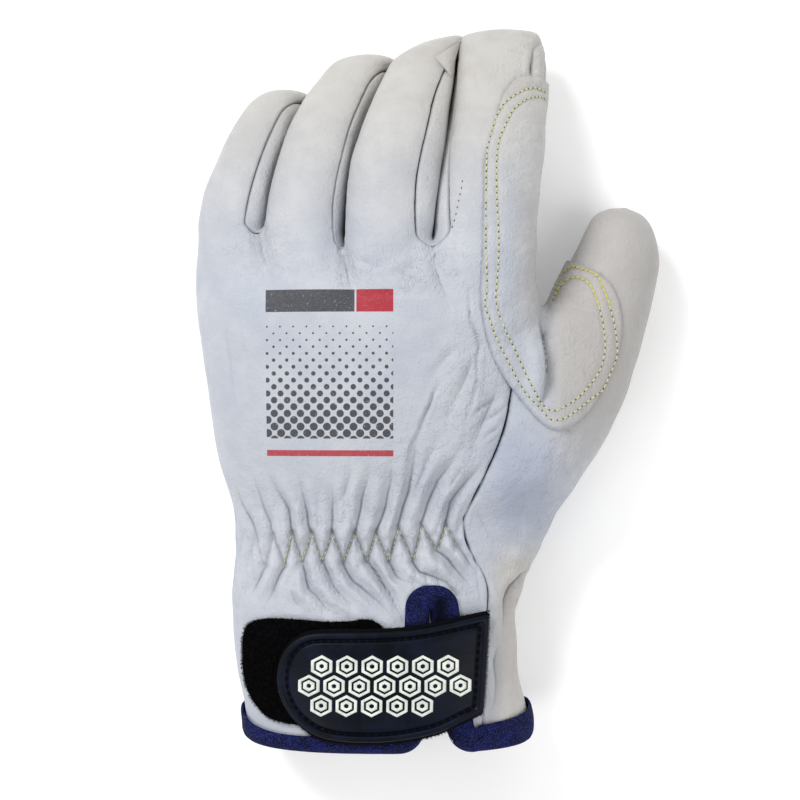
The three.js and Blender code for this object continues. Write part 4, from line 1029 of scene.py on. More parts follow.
# The nets of fine creases: scales along each axis, a turn, and the size of the mesh
CREASES = [((0.6, 1.4, 1.0), 0.15, 0.95), ((1.3, 0.7, 1.0), -0.4, 1.9)]

# Where the white leather changes its tint: the spans along X and Y over which each place comes in. The hollow
# at the thumb's root is painted shade.
WARM_TIPS = (34, 108)
WARM_FINGER_SIDE = ((32, 40), (14, 34))
# The thumb: its own warmer tone, and painted shade on its side away from the key light
THUMB_TINT_AND_SHADE = ((42, 54), (-34, 10))
WARM_WRIST = ((25, 35), (-40, -56))
SHADOWED_HOLLOW = [((22, 36), (-52, -34)), ((56, 42), (-2, -18))]


def white_leather(printed=False):
    """Grain leather: pores, fine creases that gather where the hide is worked, and painted shade in its folds
    and hollows
    """
    shader = Shader("white_leather", Specular_IOR_Level=0.3)
    place = shader.millimetres()
    x, y, _ = shader.axes(place)

    def zone(x_span, y_span):
        return shader.product(shader.ramp(x, *x_span), shader.ramp(y, *y_span))

    thumb = zone(*THUMB_TINT_AND_SHADE)
    finger_side = shader.product(zone(*WARM_FINGER_SIDE), 0.6)
    warm = shader.highest(shader.ramp(y, *WARM_TIPS), thumb, zone(*WARM_WRIST), finger_side)
    broad = shader.product(shader.noise(place, 26, 2), 0.6)
    blotch = shader.product(shader.noise(place, 6, 3), 0.4)
    tone = shader.ramp(shader.math("ADD", broad, blotch), 0.36, 0.64)
    base = shader.mixed(warm, shader.tones(tone, "ACB1BB", "B7BAC1"), shader.tones(tone, "B1AEAA", "BAB8B4"))
    # Painted shade: the thumb greyed and darkened towards A4A1A0 on its side away from the key light
    base = shader.mixed(shader.product(thumb, 0.6), base, colour("A4A1A0"))
    # Painted shade: a cool dark tint towards 8E96AD in the hollow at the thumb's root
    hollow_shade = shader.product(*[zone(*spans) for spans in SHADOWED_HOLLOW], 0.55)
    base = shader.mixed(hollow_shade, base, colour("8E96AD"))
    # Painted shade: the fold attribute darkens the creases, gathers and seams towards 66676F
    base = shader.mixed(shader.ramp(shader.attribute("fold"), 0, 1, 0, 0.9), base, colour("66676F"))
    if printed:
        base = with_print(shader, base)
    worked = shader.math("ADD", shader.product(shader.attribute("crinkle"), 1.5), 0.3)
    pores = shader.node("TexVoronoi", {"feature": "F1"}, Vector=place, Scale=1 / 0.8).outputs["Distance"]
    normal = shader.bump(shader.noise(place, 3.0, 3, 0.6), 0.5, 0.5)
    for scale, turn, size in CREASES:
        net = shader.crease_net(shader.millimetres(scale, turn), size)
        patches = shader.ramp(shader.noise(place, size * 2.5, 2), 0.36, 0.6)
        normal = shader.bump(shader.product(net, patches, worked), 0.082 * size, 0.62, normal)
    normal = shader.bump(shader.math("ADD", pores, shader.noise(place, 0.6, 2)), 0.14, 0.6, normal)
    return shader.finish(base, shader.ramp(shader.noise(place, 2.4, 3), 0.3, 0.7, 0.48, 0.62), normal)


def navy_twill():
    """Cotton twill: fine diagonal ribs with lighter flecks where they catch the light"""
    shader = Shader("navy_twill", Specular_IOR_Level=0.08)
    place = shader.millimetres()
    ribs = shader.wave(shader.millimetres(turn=math.radians(40)), "X", 1.2)
    flecks = shader.noise(place, 0.45, 3, 0.7)
    worn = shader.noise(place, 4, 3)
    light = shader.product(shader.ramp(flecks, 0.44, 0.64), shader.ramp(ribs, 0.3, 0.9), 0.75)
    base = shader.tones(shader.ramp(worn, 0.35, 0.7), "080A2C", "141A52")
    base = shader.mixed(light, base, colour("5560A0"))
    # Painted shade: the fold attribute darkens the tape where it dips into the cuff's slit
    base = shader.mixed(shader.attribute("fold"), base, colour("02030C"))
    normal = shader.bump(shader.noise(place, 2.2, 2), 0.7, 0.7)
    normal = shader.bump(ribs, 0.25, 0.9, normal)
    normal = shader.bump(flecks, 0.12, 0.6, normal)
    return shader.finish(base, shader.ramp(worn, 0.3, 0.7, 0.78, 0.92), normal)


def black_pile():
    shader = Shader("black_pile", Specular_IOR_Level=0.05)
    tufts = shader.noise(shader.millimetres(), 0.9, 3, 0.7)
    base = shader.tones(shader.ramp(tufts, 0.45, 0.75), "020203", "101013")
    return shader.finish(base, shader.ramp(tufts, 0.3, 0.7, 0.85, 1.0), shader.bump(tufts, 0.5, 1.0))


def black_webbing():
    shader = Shader("black_webbing", Specular_IOR_Level=0.08)
    place = shader.millimetres()
    weave = shader.wave(place, "Y", 0.6)
    normal = shader.bump(shader.noise(place, 0.3, 2), 0.1, 0.6, shader.bump(weave, 0.2, 0.8))
    return shader.finish(shader.tones(weave, "040405", "101116"), shader.ramp(weave, 0, 1, 0.92, 0.8), normal)


def navy_rubber():
    """Moulded rubber, matt with a faint bloom and a few rubbed places"""
    shader = Shader("navy_rubber", Specular_IOR_Level=0.12)
    place = shader.millimetres()
    bloom = shader.noise(place, 7, 4, 0.6)
    base = shader.tones(shader.ramp(bloom, 0.35, 0.7), "02060F", "060E20")
    scuffs = shader.noise(shader.millimetres((0.2, 1.4, 1)), 2.5, 3, 0.6)
    wear = shader.math("ADD", shader.product(bloom, 0.6), shader.product(scuffs, 0.4))
    normal = shader.bump(shader.noise(place, 5, 2), 0.3, 0.5)
    normal = shader.bump(shader.noise(place, 0.3, 2), 0.04, 0.5, normal)
    return shader.finish(base, shader.ramp(wear, 0.35, 0.65, 0.34, 0.5), normal)


def pale_rubber():
    shader = Shader("pale_rubber", Specular_IOR_Level=0.3)
    place = shader.millimetres()
    tone = shader.noise(place, 2.5, 3)
    base = shader.tones(shader.ramp(tone, 0.35, 0.65), "C6CCC6", "DCE0D8")
    normal = shader.bump(shader.noise(place, 0.25, 2), 0.03, 0.5)
    return shader.finish(base, shader.ramp(tone, 0.3, 0.7, 0.5, 0.62), normal)


def pale_board():
    """The floor: a smooth pale board with the faintest mottling"""
    shader = Shader("floor", Emission_Color=(1, 1, 1, 1), Emission_Strength=0.12)
    place = shader.millimetres()
    tone = shader.ramp(shader.noise(place, 40, 3), 0.3, 0.7)
    normal = shader.bump(shader.noise(place, 1.5, 2), 0.02, 0.3)
    return shader.finish(shader.tones(tone, "F9F9F9", "FCFCFC"), shader.ramp(tone, 0, 1, 0.85, 0.95), normal)


def thread(slot, dark, light):
    """Twisted sewing thread"""
    shader = Shader(slot, Sheen_Weight=0.3, Sheen_Roughness=0.4)
    twist = shader.noise(shader.millimetres(), 0.3, 3, 0.7)
    base = shader.tones(shader.ramp(twist, 0.35, 0.65), dark, light)
    return shader.finish(base, shader.ramp(twist, 0.3, 0.7, 0.55, 0.7), shader.bump(twist, 0.08, 0.8))


def needle_hole():
    """Painted shade in a needle hole, over the bare edge of the hide"""
    shader = Shader("white_leather", Roughness=0.9)
    return shader.finish(shader.tones(shader.noise(shader.millimetres(), 1.0), "3A3730", "57534A"))


LEATHER_MATERIAL = white_leather()
PRINTED_LEATHER = white_leather(printed=True)
TWILL = navy_twill()
PILE = black_pile()
WEBBING = black_webbing()
RUBBER = navy_rubber()
PALE_RUBBER = pale_rubber()
YELLOW_THREAD = thread("yellow_thread", "AFAE78", "D2D2A2")
BRIGHT_THREAD = thread("yellow_thread", "B2A43A", "D2C65A")
NEEDLE_HOLES = needle_hole()

# The photograph's view: its pixels on the floor and the camera's height over it, in millimetres
PIXEL = 0.3313
MIDDLE_PIXEL = 400
CAMERA_HEIGHT = 700
ON_LEATHER = 0.31  # millimetres to a pixel at the leather's height


def in_picture(points):
    """Where points lie in the photograph, in its pixels"""
    share = CAMERA_HEIGHT / ((CAMERA_HEIGHT - points[:, 2]) * PIXEL)
    return np.stack([MIDDLE_PIXEL + points[:, 0] * share, MIDDLE_PIXEL - points[:, 1] * share], axis=1)


def line_distance(places, line):
    """Each place's distance from a line in the picture, and its share of the way along it"""
    corners = np.array(line, dtype=float)
    reach = reach_along(corners)
    nearest = np.full(len(places), np.inf)
    along = np.zeros(len(places))
    for i, step in enumerate(np.diff(corners, axis=0)):
        length = np.linalg.norm(step)
        t = np.clip((places - corners[i]) @ step / length**2, 0, 1)
        distance = np.linalg.norm(places - corners[i] - t[:, None] * step, axis=1)
        closer = distance < nearest
        nearest[closer] = distance[closer]
        along[closer] = (reach[i] + t[closer] * length) / reach[-1]
    return nearest, along


# The elastic's zigzag across the wrist, in the photograph's pixels
GATHER_LINE = [
    (246, 566), (254, 537), (264, 566), (272, 536), (283.8, 565), (291.8, 534), (301.7, 562), (311.8, 533),
    (321.7, 562), (332.5, 533), (343.5, 562), (354.3, 533), (367, 562), (375.7, 533), (388.7, 561.5),
    (398.6, 529), (413.5, 560), (421.6, 526), (437, 551), (446, 525), (458, 546.6),
]
FOLD_LIMIT = 2.2  # where folds cross they go no deeper than this
GATHER = {"depth": 1.8, "half_width": 0.85, "puff": 1.3, "puff_width": 2.6, "shade_width": 0.5}
# The spans in the photograph's pixels over which the gathers come in, weaken and end
GATHER_SPANS = {
    "left": (240, 295),
    "weaker": (440, 465),
    "right": (462, 470),
    "top": (520, 538),
    "bottom": (558, 576),
}
CRINKLED = {"middle": 548, "reach": 62, "end": 640}  # the finely creased rows above and below them

# Folds: depth and half width in millimetres, how much of the depth is left at the start and at the
# end, then the line in the photograph's pixels. A negative depth makes a ridge.
FOLDS = [
    # rising from the gathers
    (1.1, 1.0, 0.7, 0, (257, 541), (250, 521), (240, 494), (234, 470)),
    (1.1, 1.0, 0.8, 0, (272, 537), (266, 515), (258, 490), (250, 462)),
    (1.8, 1.0, 1, 0, (291, 535), (286, 511), (276, 490), (266, 460)),
    (1.5, 0.9, 1, 0, (311, 534), (305, 511), (300, 490), (296, 468)),
    (1.4, 0.9, 1, 0, (332, 533), (332, 508), (330, 478)),
    (1.8, 1.0, 1, 0, (354, 533), (362, 511), (366, 485), (372, 455)),
    (1.8, 1.0, 1, 0, (376, 532), (386, 505), (390, 480), (392, 448)),
    (2.1, 1.1, 1, 0, (398, 528), (407, 494), (411, 470), (418, 440), (427, 408)),
    (2.2, 1.2, 1, 0, (421, 525), (427, 505), (438, 481), (455, 458), (468, 432)),
    (2, 1.0, 1, 0, (446, 524), (449, 505), (459, 490), (476, 472), (486, 452)),
    (1, 0.8, 0, 0, (408, 500), (420, 476), (432, 450), (440, 425)),
    (0.88, 0.8, 0, 0, (342, 505), (348, 480), (350, 455)),
    (0.88, 0.8, 0, 0, (444, 492), (456, 476), (474, 456)),
    # falling from them
    (1.2, 1.0, 0.8, 0, (264, 567), (254, 584), (248, 604)),
    (1.7, 0.9, 1, 0.2, (283, 566), (272, 586), (264, 610)),
    (1.9, 0.9, 1, 0.3, (302, 563), (309, 592), (324, 608), (352, 620)),
    (1.8, 0.9, 1, 0.2, (322, 563), (332, 586), (348, 602), (364, 613)),
    (2.1, 0.9, 1, 0.3, (343, 563), (356, 582), (378, 602), (398, 624)),
    (2.6, 0.9, 1, 0.5, (367, 562), (379, 580), (390, 596), (404, 622)),
    (2.0, 0.9, 1, 0.3, (389, 562), (397, 575), (411, 584)),
    (1.5, 0.9, 1, 0.5, (413, 561), (420, 572), (432, 576), (446, 583), (457, 596)),
    (2, 1.2, 1, 0, (437, 552), (452, 567), (468, 582), (478, 600)),
    (1.1, 1.0, 1, 0, (458, 548), (468, 562), (480, 576)),
    (1, 0.9, 0, 0, (290, 588), (296, 604), (310, 616)),
    # the ledge over the slit's binding
    (-0.9, 1.6, 0.3, 0, (398, 588), (410, 576), (432, 571), (452, 580), (464, 598)),
    # the hand's outer edge
    (-0.7, 2.6, 0, 0, (212, 262), (218, 330), (227, 400), (235, 445), (245, 475), (252, 495), (258, 515)),
    (0.5, 1.6, 0, 0, (224, 300), (231, 370), (240, 425), (250, 465)),
    # the knuckles and below the crotches
    (0.4, 0.9, 0, 0, (240, 240), (258, 244), (284, 246)),
    (0.5, 0.8, 0, 0, (352, 258), (372, 266), (398, 268)),
    (0.5, 0.9, 0, 0, (372, 278), (400, 272), (430, 262), (462, 262)),
    (0.4, 0.8, 0, 0, (360, 292), (395, 296), (430, 290), (456, 292)),
    (1.1, 1.3, 0.8, 0, (258, 231), (262, 250), (272, 280)),
    (1.1, 1.3, 0.8, 0, (345, 254), (348, 278), (356, 310)),
    (1.2, 1.4, 0.8, 0, (434, 248), (440, 278), (452, 315)),
    # fine lines over the hand
    (0.9, 0.45, 0, 0, (447, 378), (433, 393), (424, 416), (419, 432), (408, 457), (401, 480)),
    (
        0.8, 0.4, 0, 0,
        (465, 268), (470, 315), (478, 347), (478, 379), (474, 400), (467, 420), (463, 446), (446, 468),
    ),
    (0.4, 0.4, 0, 0, (378, 270), (410, 275), (442, 285), (464, 297)),
    (0.35, 0.4, 0, 0, (384, 286), (408, 294), (428, 303)),
    (0.8, 0.4, 0.4, 0, (499, 398), (479, 409), (467, 426)),
    (0.8, 0.4, 0.4, 0, (503, 410), (486, 420), (472, 433)),
    (0.7, 0.4, 0.4, 0, (500, 424), (488, 434), (478, 448)),
    # the stretch between the thumb and the wrist
    (1, 1.4, 0, 0, (500, 380), (486, 415), (470, 455), (460, 490)),
    (0.88, 1.2, 0, 0, (480, 350), (462, 385), (448, 420), (440, 450)),
    (0.5, 1.1, 0, 0, (458, 340), (436, 372), (424, 402)),
    # the fingers
    (1.8, 0.7, 0.5, 0.3, (532, 78), (532, 60), (536, 50), (543, 42)),
    (0.5, 1.2, 0, 0, (470, 60), (478, 84), (482, 112)),
    (0.5, 1.0, 0, 0, (300, 150), (318, 146), (338, 152)),
    (0.4, 1.2, 0, 0, (372, 128), (392, 122), (418, 128)),
    (0.4, 1.0, 0, 0, (232, 168), (246, 166), (262, 174)),
]
# The thumb panel's folds, written the same way
THUMB_FOLDS = [
    (1.8, 1.0, 1, 0, (523, 575), (514, 586), (507, 601), (503, 622), (500, 648)),
    (1.2, 1.3, 0, 0.3, (499, 640), (496, 668), (494, 700), (488, 717)),
    (-0.9, 2.0, 0, 0.4, (484, 560), (492, 585), (493, 612), (490, 650), (486, 700)),
    (-0.8, 2.6, 0, 0, (520, 540), (514, 562), (503, 580)),
    (0.8, 2.4, 0, 0, (474, 505), (485, 525), (498, 545), (508, 556)),
    (0.7, 1.0, 0, 0, (561, 418), (572, 432), (580, 452)),
]
# Where the hide is finely creased: the middle and the reach of each place, in pixels
WORKED = [
    (370, 545, 130, 70), (430, 480, 70, 70), (430, 270, 70, 36), (355, 270, 40, 30), (262, 250, 40, 30),
    (470, 400, 40, 80), (445, 590, 40, 30), (530, 60, 30, 30), (320, 590, 80, 40), (250, 540, 30, 80),
]
THUMB_BALL = (44, -30, 22, 30)  # its middle and its reach, in millimetres


def fold_relief(points, places, folds):
    """The height and the shade of the fold lines at places in the picture"""
    height = np.zeros(len(places))
    shade = np.zeros(len(places))
    wander = np.stack([noise_at(points, 9, 11), noise_at(points, 9, 12)], axis=1) * 3.2
    places = places + wander
    for depth, half_width, start, end, *line in folds:
        distance, along = line_distance(places, line)
        near = distance < 24
        distance, along = distance[near] * ON_LEATHER, along[near]
        taper = (start + (1 - start) * fade(along, 0, 0.3)) * (end + (1 - end) * (1 - fade(along, 0.25, 1)))
        width = half_width * (1 + along * 0.5)
        valley = np.exp(-((distance / width) ** 1.4)) * taper
        shoulder = bell(distance - 2.4 * width, 1.3 * width) * taper
        height[near] += depth * (0.35 * shoulder - valley)
        if depth > 0:
            crisp = bell(distance, 0.4) * taper
            shade[near] = np.maximum(shade[near], crisp * min(depth, 1.5) * 0.6)
    return height, shade


def worked_at(places):
    return np.max([bell(places[:, 0] - x, w) * bell(places[:, 1] - y, h) for x, y, w, h in WORKED], axis=0)


def creased(points, scale, size, seed):
    """Ridged noise: narrow creases between soft swellings, from 0 in a crease to 1"""
    return np.clip(np.abs(noise_at(points * np.array(scale), size, seed)) * 3.2, 0, 1) ** 0.6


def drifting(points):
    """The long soft waves of leather that lies loose"""
    return noise_at(points, 22, 1) * 0.5 + noise_at(points, 9, 2) * 0.28


def folded_back(surface):
    """The back's folds, gathers and unevenness. Returns the painted shade of its creases and gathers, and the
    creasing.
    """
    points, normals = surface.points, surface.normals()
    seen = np.clip(normals[:, 2] * 3, 0, 1)
    places = in_picture(points)
    height, shade = fold_relief(points, places, FOLDS)
    worked = worked_at(places)
    x, y = places.T
    about_gathers = bell(y - CRINKLED["middle"], CRINKLED["reach"]) * (y < CRINKLED["end"])
    height += (creased(points, (1, 0.24, 1), 5.0, 7) - 0.6) * 0.8 * about_gathers
    height += (creased(points, (0.35, 1, 1), 4.0, 8) - 0.6) * 0.25 * np.maximum(worked - about_gathers, 0)
    distance, _ = line_distance(places, GATHER_LINE)
    distance = distance * ON_LEATHER
    left, weaker, right = (fade(x, *GATHER_SPANS[name]) for name in ("left", "weaker", "right"))
    strength = (0.25 + 0.75 * left) * (1 - 0.35 * weaker) * (1 - right)
    row = fade(y, *GATHER_SPANS["top"]) * (1 - fade(y, *GATHER_SPANS["bottom"]))
    groove = bell(distance, GATHER["half_width"]) * strength
    puff = (1 - bell(distance, GATHER["puff_width"])) * row * strength
    height += GATHER["puff"] * puff - GATHER["depth"] * groove
    shade = np.maximum(shade, bell(distance, GATHER["shade_width"]) * strength * 0.75)
    height = np.where(height < 0, FOLD_LIMIT * np.tanh(height / FOLD_LIMIT), height)
    points += normals * (drifting(points) + height * seen)[:, None]
    return shade * seen, worked


def undulated(surface):
    """The unevenness of soft leather that lies loose"""
    points = surface.points
    x, y, width, height = THUMB_BALL
    thumb_root = bell(points[:, 0] - x, width) * bell(points[:, 1] - y, height)
    drift = drifting(points) + (creased(points, (1, 0.5, 1), 9.0, 9) - 0.6) * 0.5 * thumb_root
    points += surface.normals() * drift[:, None]
    return np.zeros(len(points)), 0.25 + 0.5 * thumb_root


def folded_thumb(surface):
    """The thumb panel's folds at the wrist and cuff on top of its unevenness"""
    seen = np.clip(surface.normals()[:, 2] * 3, 0, 1)
    height, shade = fold_relief(surface.points, in_picture(surface.points), THUMB_FOLDS)
    _, crinkle = undulated(surface)
    surface.points += surface.normals() * (height * seen)[:, None]
    return shade * seen, crinkle


# The frame
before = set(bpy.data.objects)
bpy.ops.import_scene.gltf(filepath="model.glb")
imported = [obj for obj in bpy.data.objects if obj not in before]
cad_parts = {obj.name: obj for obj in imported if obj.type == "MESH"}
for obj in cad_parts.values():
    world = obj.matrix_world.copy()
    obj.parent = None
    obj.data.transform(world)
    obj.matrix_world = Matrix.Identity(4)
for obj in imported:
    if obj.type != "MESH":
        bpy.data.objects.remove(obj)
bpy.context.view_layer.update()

# The fold where the forefinger's side meets the thumb's web: its line in the photograph's pixels, the
# pixel row that it starts below, and its shape in millimetres
CROTCH_FOLD = [(536, 308), (541, 335), (545, 355), (546, 375), (543, 395), (536, 412)]
CROTCH_FOLD_TOP = 305
CROTCH_DROP = {"depth": 5.8, "reach": 6, "swell": 1.4, "swell_width": 2.4, "shade_width": 0.6}
PUCKER = {"depth": 0.3, "reach": 1.6, "size": 1.7}


def crotch_fold(points):
    """How far the leather drops behind the fold at the thumb's web, and its shade there"""
    places = in_picture(points)
    distance, along = line_distance(places, CROTCH_FOLD)
    right = places[:, 0] > np.interp(places[:, 1], *zip(*[(y, x) for x, y in CROTCH_FOLD]))
    distance = np.where(right, distance, -distance) * ON_LEATHER
    taper = fade(along, 0, 0.3) * (1 - fade(along, 0.6, 1)) * (places[:, 1] > CROTCH_FOLD_TOP)
    behind = np.exp(-np.clip(distance, 0, None) / CROTCH_DROP["reach"])
    drop = fade(distance, -0.3, 0.7) * behind * CROTCH_DROP["depth"]
    swell = bell(distance + 2.6, CROTCH_DROP["swell_width"]) * CROTCH_DROP["swell"]
    return (swell - drop) * taper, bell(distance - 0.5, CROTCH_DROP["shade_width"]) * taper * 0.8


def leather_object(name, sheet, node, shape, roll=SEAM_ROLL, material=LEATHER_MATERIAL):
    """Makes a panel and returns its surface as it was before its seams were rolled in."""
    surface = subdivided(sheet, 2)
    fold, crinkle = shape(surface)
    plain = Surface(surface.points.copy(), surface.faces)
    top = np.clip(surface.normals()[:, 2] * 4, 0, 1)
    surface.points[:, 2] += crotch_fold(surface.points)[0] * top
    near = rolled_in(surface, roll)
    if name == "back":
        round_corners(surface)
    surface.points[:, 2] = np.maximum(surface.points[:, 2], 0)
    # Painted shade for the fold attribute: the creases and gathers, and along the rolled-in seams
    fold = np.maximum(fold, np.exp(-near / 0.5) * 0.5)
    make_object(name, thickened(surface, LEATHER), material, node, {"fold": fold, "crinkle": crinkle})
    return plain


SLIT_CORNER = 7.0  # the radius of the cuff's corners at its slit


def corner_centre(which):
    edge = slit_edge(HEM["middle"], which)
    return edge + which * SLIT_CORNER, hem_y(angle_at(HEM["middle"], edge)) + SLIT_CORNER


def round_corners(surface):
    """Takes the back's two corners at the slit in to a round"""
    for which in (-1, 1):
        x, y = corner_centre(which)
        across = (surface.points[:, 0] - x) * which
        down = surface.points[:, 1] - y
        reach = np.hypot(across, down)
        outside = (across < 0) & (down < 0) & (across > -SLIT_CORNER - 2) & (reach > SLIT_CORNER - 0.6)
        share = (SLIT_CORNER - 0.6) / reach[outside]
        surface.points[outside, 0] = x + which * across[outside] * share
        surface.points[outside, 1] = y + down[outside] * share


back = leather_object("back", comb_sheet("back"), "back_panel", folded_back, material=PRINTED_LEATHER)
palm = leather_object("palm", comb_sheet("palm"), "palm_panel", undulated)
thumb = leather_object("thumb", thumb_sheet(), "thumb_panel", folded_thumb)
for gap, pair in enumerate(["little_ring", "ring_middle", "middle_index"]):
    sheet = side_strip_sheet(gap)
    middle_strip = leather_object(f"side_strip.{pair}", sheet, f"side_strip_{pair}", undulated, STRIP_ROLL)

# The patch over the thumb crotch. Each row runs from its cut edge on the back of the hand, over the
# side of the forefinger or thumb, to its cut edge on the palm.
PATCH_ROWS = Table(
    "row back_x back_y side_x side_y side_z palm_x palm_y palm_z",
    (0, 40.2, 110.6, 46.0, 101.0, 24.0, 43.5, 99.6, -6),
    (1, 35.8, 104.6, 46.6, 98.2, 26.0, 38.0, 98.0, -6),
    (2, 31.8, 96.8, 46.8, 92.0, 28.0, 33.0, 91.5, -6),
    (3, 29.2, 87.0, 46.6, 84.0, 30.0, 30.0, 84.0, -6),
    (4, 26.0, 76.0, 45.0, 76.0, 32.0, 28.5, 75.5, -6),
    (5, 25.8, 66.0, 43.8, 67.0, 34.0, 28.0, 66.0, -6),
    (6, 25.7, 56.0, 43.2, 58.0, 35.5, 27.5, 56.5, -6),
    (7, 25.7, 45.0, 43.0, 49.0, 35.5, 28.5, 47.5, -6),
    (8, 25.7, 34.0, 43.2, 40.5, 33.0, 31.0, 40.0, 2),
    (9, 26.6, 24.0, 43.8, 34.5, 30.5, 35.5, 34.0, 8),
    (10, 31.0, 11.5, 44.6, 31.0, 28.6, 39.5, 30.0, 14),
    (11, 38.0, 0.0, 45.4, 29.4, 26.8, 42.0, 28.0, 16),
    (12, 47.0, -9.6, 46.2, 28.8, 25.0, 44.0, 27.0, 15),
    (13, 57.0, -7.0, 47.2, 29.4, 23.2, 46.0, 27.8, 12),
    (14, 66.0, 2.0, 48.4, 31.0, 21.4, 48.0, 29.8, 10),
    (15, 71.0, 14.0, 49.8, 34.0, 19.8, 50.0, 32.6, 9),
    (16, 72.2, 25.0, 51.4, 37.0, 18.4, 52.0, 36.0, 8.5),
    (17, 70.0, 33.6, 53.0, 40.4, 17.2, 53.6, 39.6, 8),
    (18, 66.0, 38.8, 54.2, 43.0, 16.4, 55.0, 42.4, 8),
    (19, 60.8, 42.2, 55.0, 44.8, 15.8, 56.0, 44.4, 8),
)
PATCH_HALF = 5  # columns on either side of a row's middle
PATCH_START_HEIGHT = 70  # rows start from this height over the back, less half their x
PATCH_LIFTS = 14  # passes that lift the patch off the leather, the first few with an evening-out
PATCH_EVENED_LIFTS = 8
PATCH_UNEVEN = {"creases": 0.22, "swells": 0.3}
PATCH_HEIGHT = 1.1  # its face over the leather that it is sewn to
CROTCH_ROWS = (9, 15)
CROTCH_WAY_OUT = Vector((0.4, 1, 0)).normalized()


def joined(*surfaces):
    points, faces = [], []
    for surface in surfaces:
        faces += [[i + len(points) for i in face] for face in surface.faces]
        points += surface.points.tolist()
    return Surface(points, faces)


def in_crotch(row, c):
    """How far inside the crotch a place on the patch lies, 0 to 1"""
    first, last = CROTCH_ROWS
    along = smooth(row, first, first + 2) * (1 - smooth(row, last - 2, last))
    return along * (1 - smooth(abs(c - PATCH_HALF) / PATCH_HALF, 0.4, 0.9))


def height_over(tree, point):
    """The nearest place on the leather, the way out of it, and the point's height over it"""
    at, normal, _, distance = tree.find_nearest(Vector(point))
    return at, normal, math.copysign(distance, (Vector(point) - at).dot(normal))


def patch_grid(tree):
    def settled(point):
        at, normal, _ = height_over(tree, point)
        return at + normal * PATCH_HEIGHT

    def half(a, b):
        return evenly([settled(a.lerp(b, i / 4)) for i in range(5)], PATCH_HALF)

    grid = []
    for row in PATCH_ROWS.rows():
        start = settled(Vector((row["back_x"], row["back_y"], PATCH_START_HEIGHT - row["back_x"] / 2)))
        side = settled(Vector((row["side_x"], row["side_y"], row["side_z"])))
        end = settled(Vector((row["palm_x"], row["palm_y"], row["palm_z"])))
        grid.append([*half(start, side), *half(side, end)[1:]])
    grid = np.array(grid)
    inside = np.array([[in_crotch(r, c) for c in range(2 * PATCH_HALF + 1)] for r in range(len(grid))])
    for _ in range(4):
        relaxed(grid, 1, 2)
        for r, row in enumerate(grid):
            for c, point in enumerate(row):
                grid[r, c] = mix(point, np.array(settled(point)), 1 - inside[r, c])
    relaxed(grid, 1, 3)
    for turn in range(PATCH_LIFTS):
        for r, row in enumerate(grid):
            for c, point in enumerate(row):
                _, normal, height = height_over(tree, point)
                if height < PATCH_HEIGHT:
                    way = normal.lerp(CROTCH_WAY_OUT, inside[r, c]).normalized()
                    grid[r, c] += np.array(way) * min(PATCH_HEIGHT - height, 1) * 0.7
        if turn < PATCH_EVENED_LIFTS:
            relaxed(grid, 1, 1)
    grid[-6:-1, 0] = (grid[-7:-2, 0] + 2 * grid[-6:-1, 0] + grid[-5:, 0]) / 4
    lines = [curve_through(grid[:, c], 2) for c in range(grid.shape[1])]
    return np.stack(lines, axis=1)


def kept_clear(surface, tree, lift):
    """Lifts a surface wherever it is nearer than that to the leather below"""
    for i, point in enumerate(surface.points):
        _, normal, height = height_over(tree, point)
        if height < lift:
            surface.points[i] += np.array(normal) * min(lift - height, 2)


# Stitch lines in the photograph's pixels
PATCH_STITCHES = {
    "outer": [
        (547, 93), (535, 88), (525, 90), (512, 97), (503, 105), (495, 120), (489, 135), (487, 155),
        (486, 200), (486, 250), (487, 290), (485, 305), (490, 320), (497, 340), (505, 355), (515, 375),
        (525, 392), (540, 408), (552, 420), (565, 418), (580, 408), (592, 398), (603, 390), (612, 375),
        (617, 355), (616, 335), (611, 310), (604, 290), (597, 275), (585, 270), (572, 267), (563, 274),
        (555, 290),
    ],
    "inner": [
        (547, 100), (540, 97), (528, 99), (515, 108), (507, 122), (500, 138), (497, 155), (497, 200),
        (499, 240), (498, 270), (496, 300), (501, 320), (515, 350), (525, 372), (533, 388), (543, 405),
        (553, 411), (575, 400), (590, 385), (600, 370), (605, 350), (604, 330), (600, 310), (593, 290),
        (585, 280), (572, 278), (561, 286), (553, 300),
    ],
}
FIRST_SEWN_LEG = 4
GATHER_THREADS = {
    "gather_stitches": {"length": 1.5, "gap": 0.6, "radius": 0.2},
    "gather_stitches.falling": {"length": 1.0, "gap": 1.4, "radius": 0.16},
}
STITCH = {"length": 1.35, "gap": 0.65, "radius": 0.3, "sides": 6, "rings": 5}
STITCH_GROOVE = {"depth": 0.3, "width": 0.7}


def stitched_in(surface, lines):
    """Presses stitch lines into a surface. Returns each point's depth in one of them."""
    places = in_picture(surface.points)
    normals = surface.normals()
    seen = np.clip(normals[:, 2] * 3, 0, 1)
    groove = np.zeros(len(places))
    for line in lines:
        distance, _ = line_distance(places, line)
        groove = np.maximum(groove, bell(distance * ON_LEATHER, STITCH_GROOVE["width"]))
    surface.points -= normals * (groove * seen * STITCH_GROOVE["depth"])[:, None]
    return groove * seen


leather_tree = joined(back, palm, thumb).tree()
patch = subdivided(Sheet().grid(patch_grid(leather_tree)), 3)
kept_clear(patch, leather_tree, PATCH_HEIGHT * 0.9)
patch_edge = rolled_in(patch, PATCH_ROLL)
ripples = (creased(patch.points, (0.3, 1, 1), 3.2, 5) - 0.6) * PATCH_UNEVEN["creases"]
ripples += noise_at(patch.points, 11, 6) * PATCH_UNEVEN["swells"]
patch.points += patch.normals() * ripples[:, None]
drop, drop_shade = crotch_fold(patch.points)
patch.points[:, 2] += drop * np.clip(patch.normals()[:, 2] * 4, 0, 1)
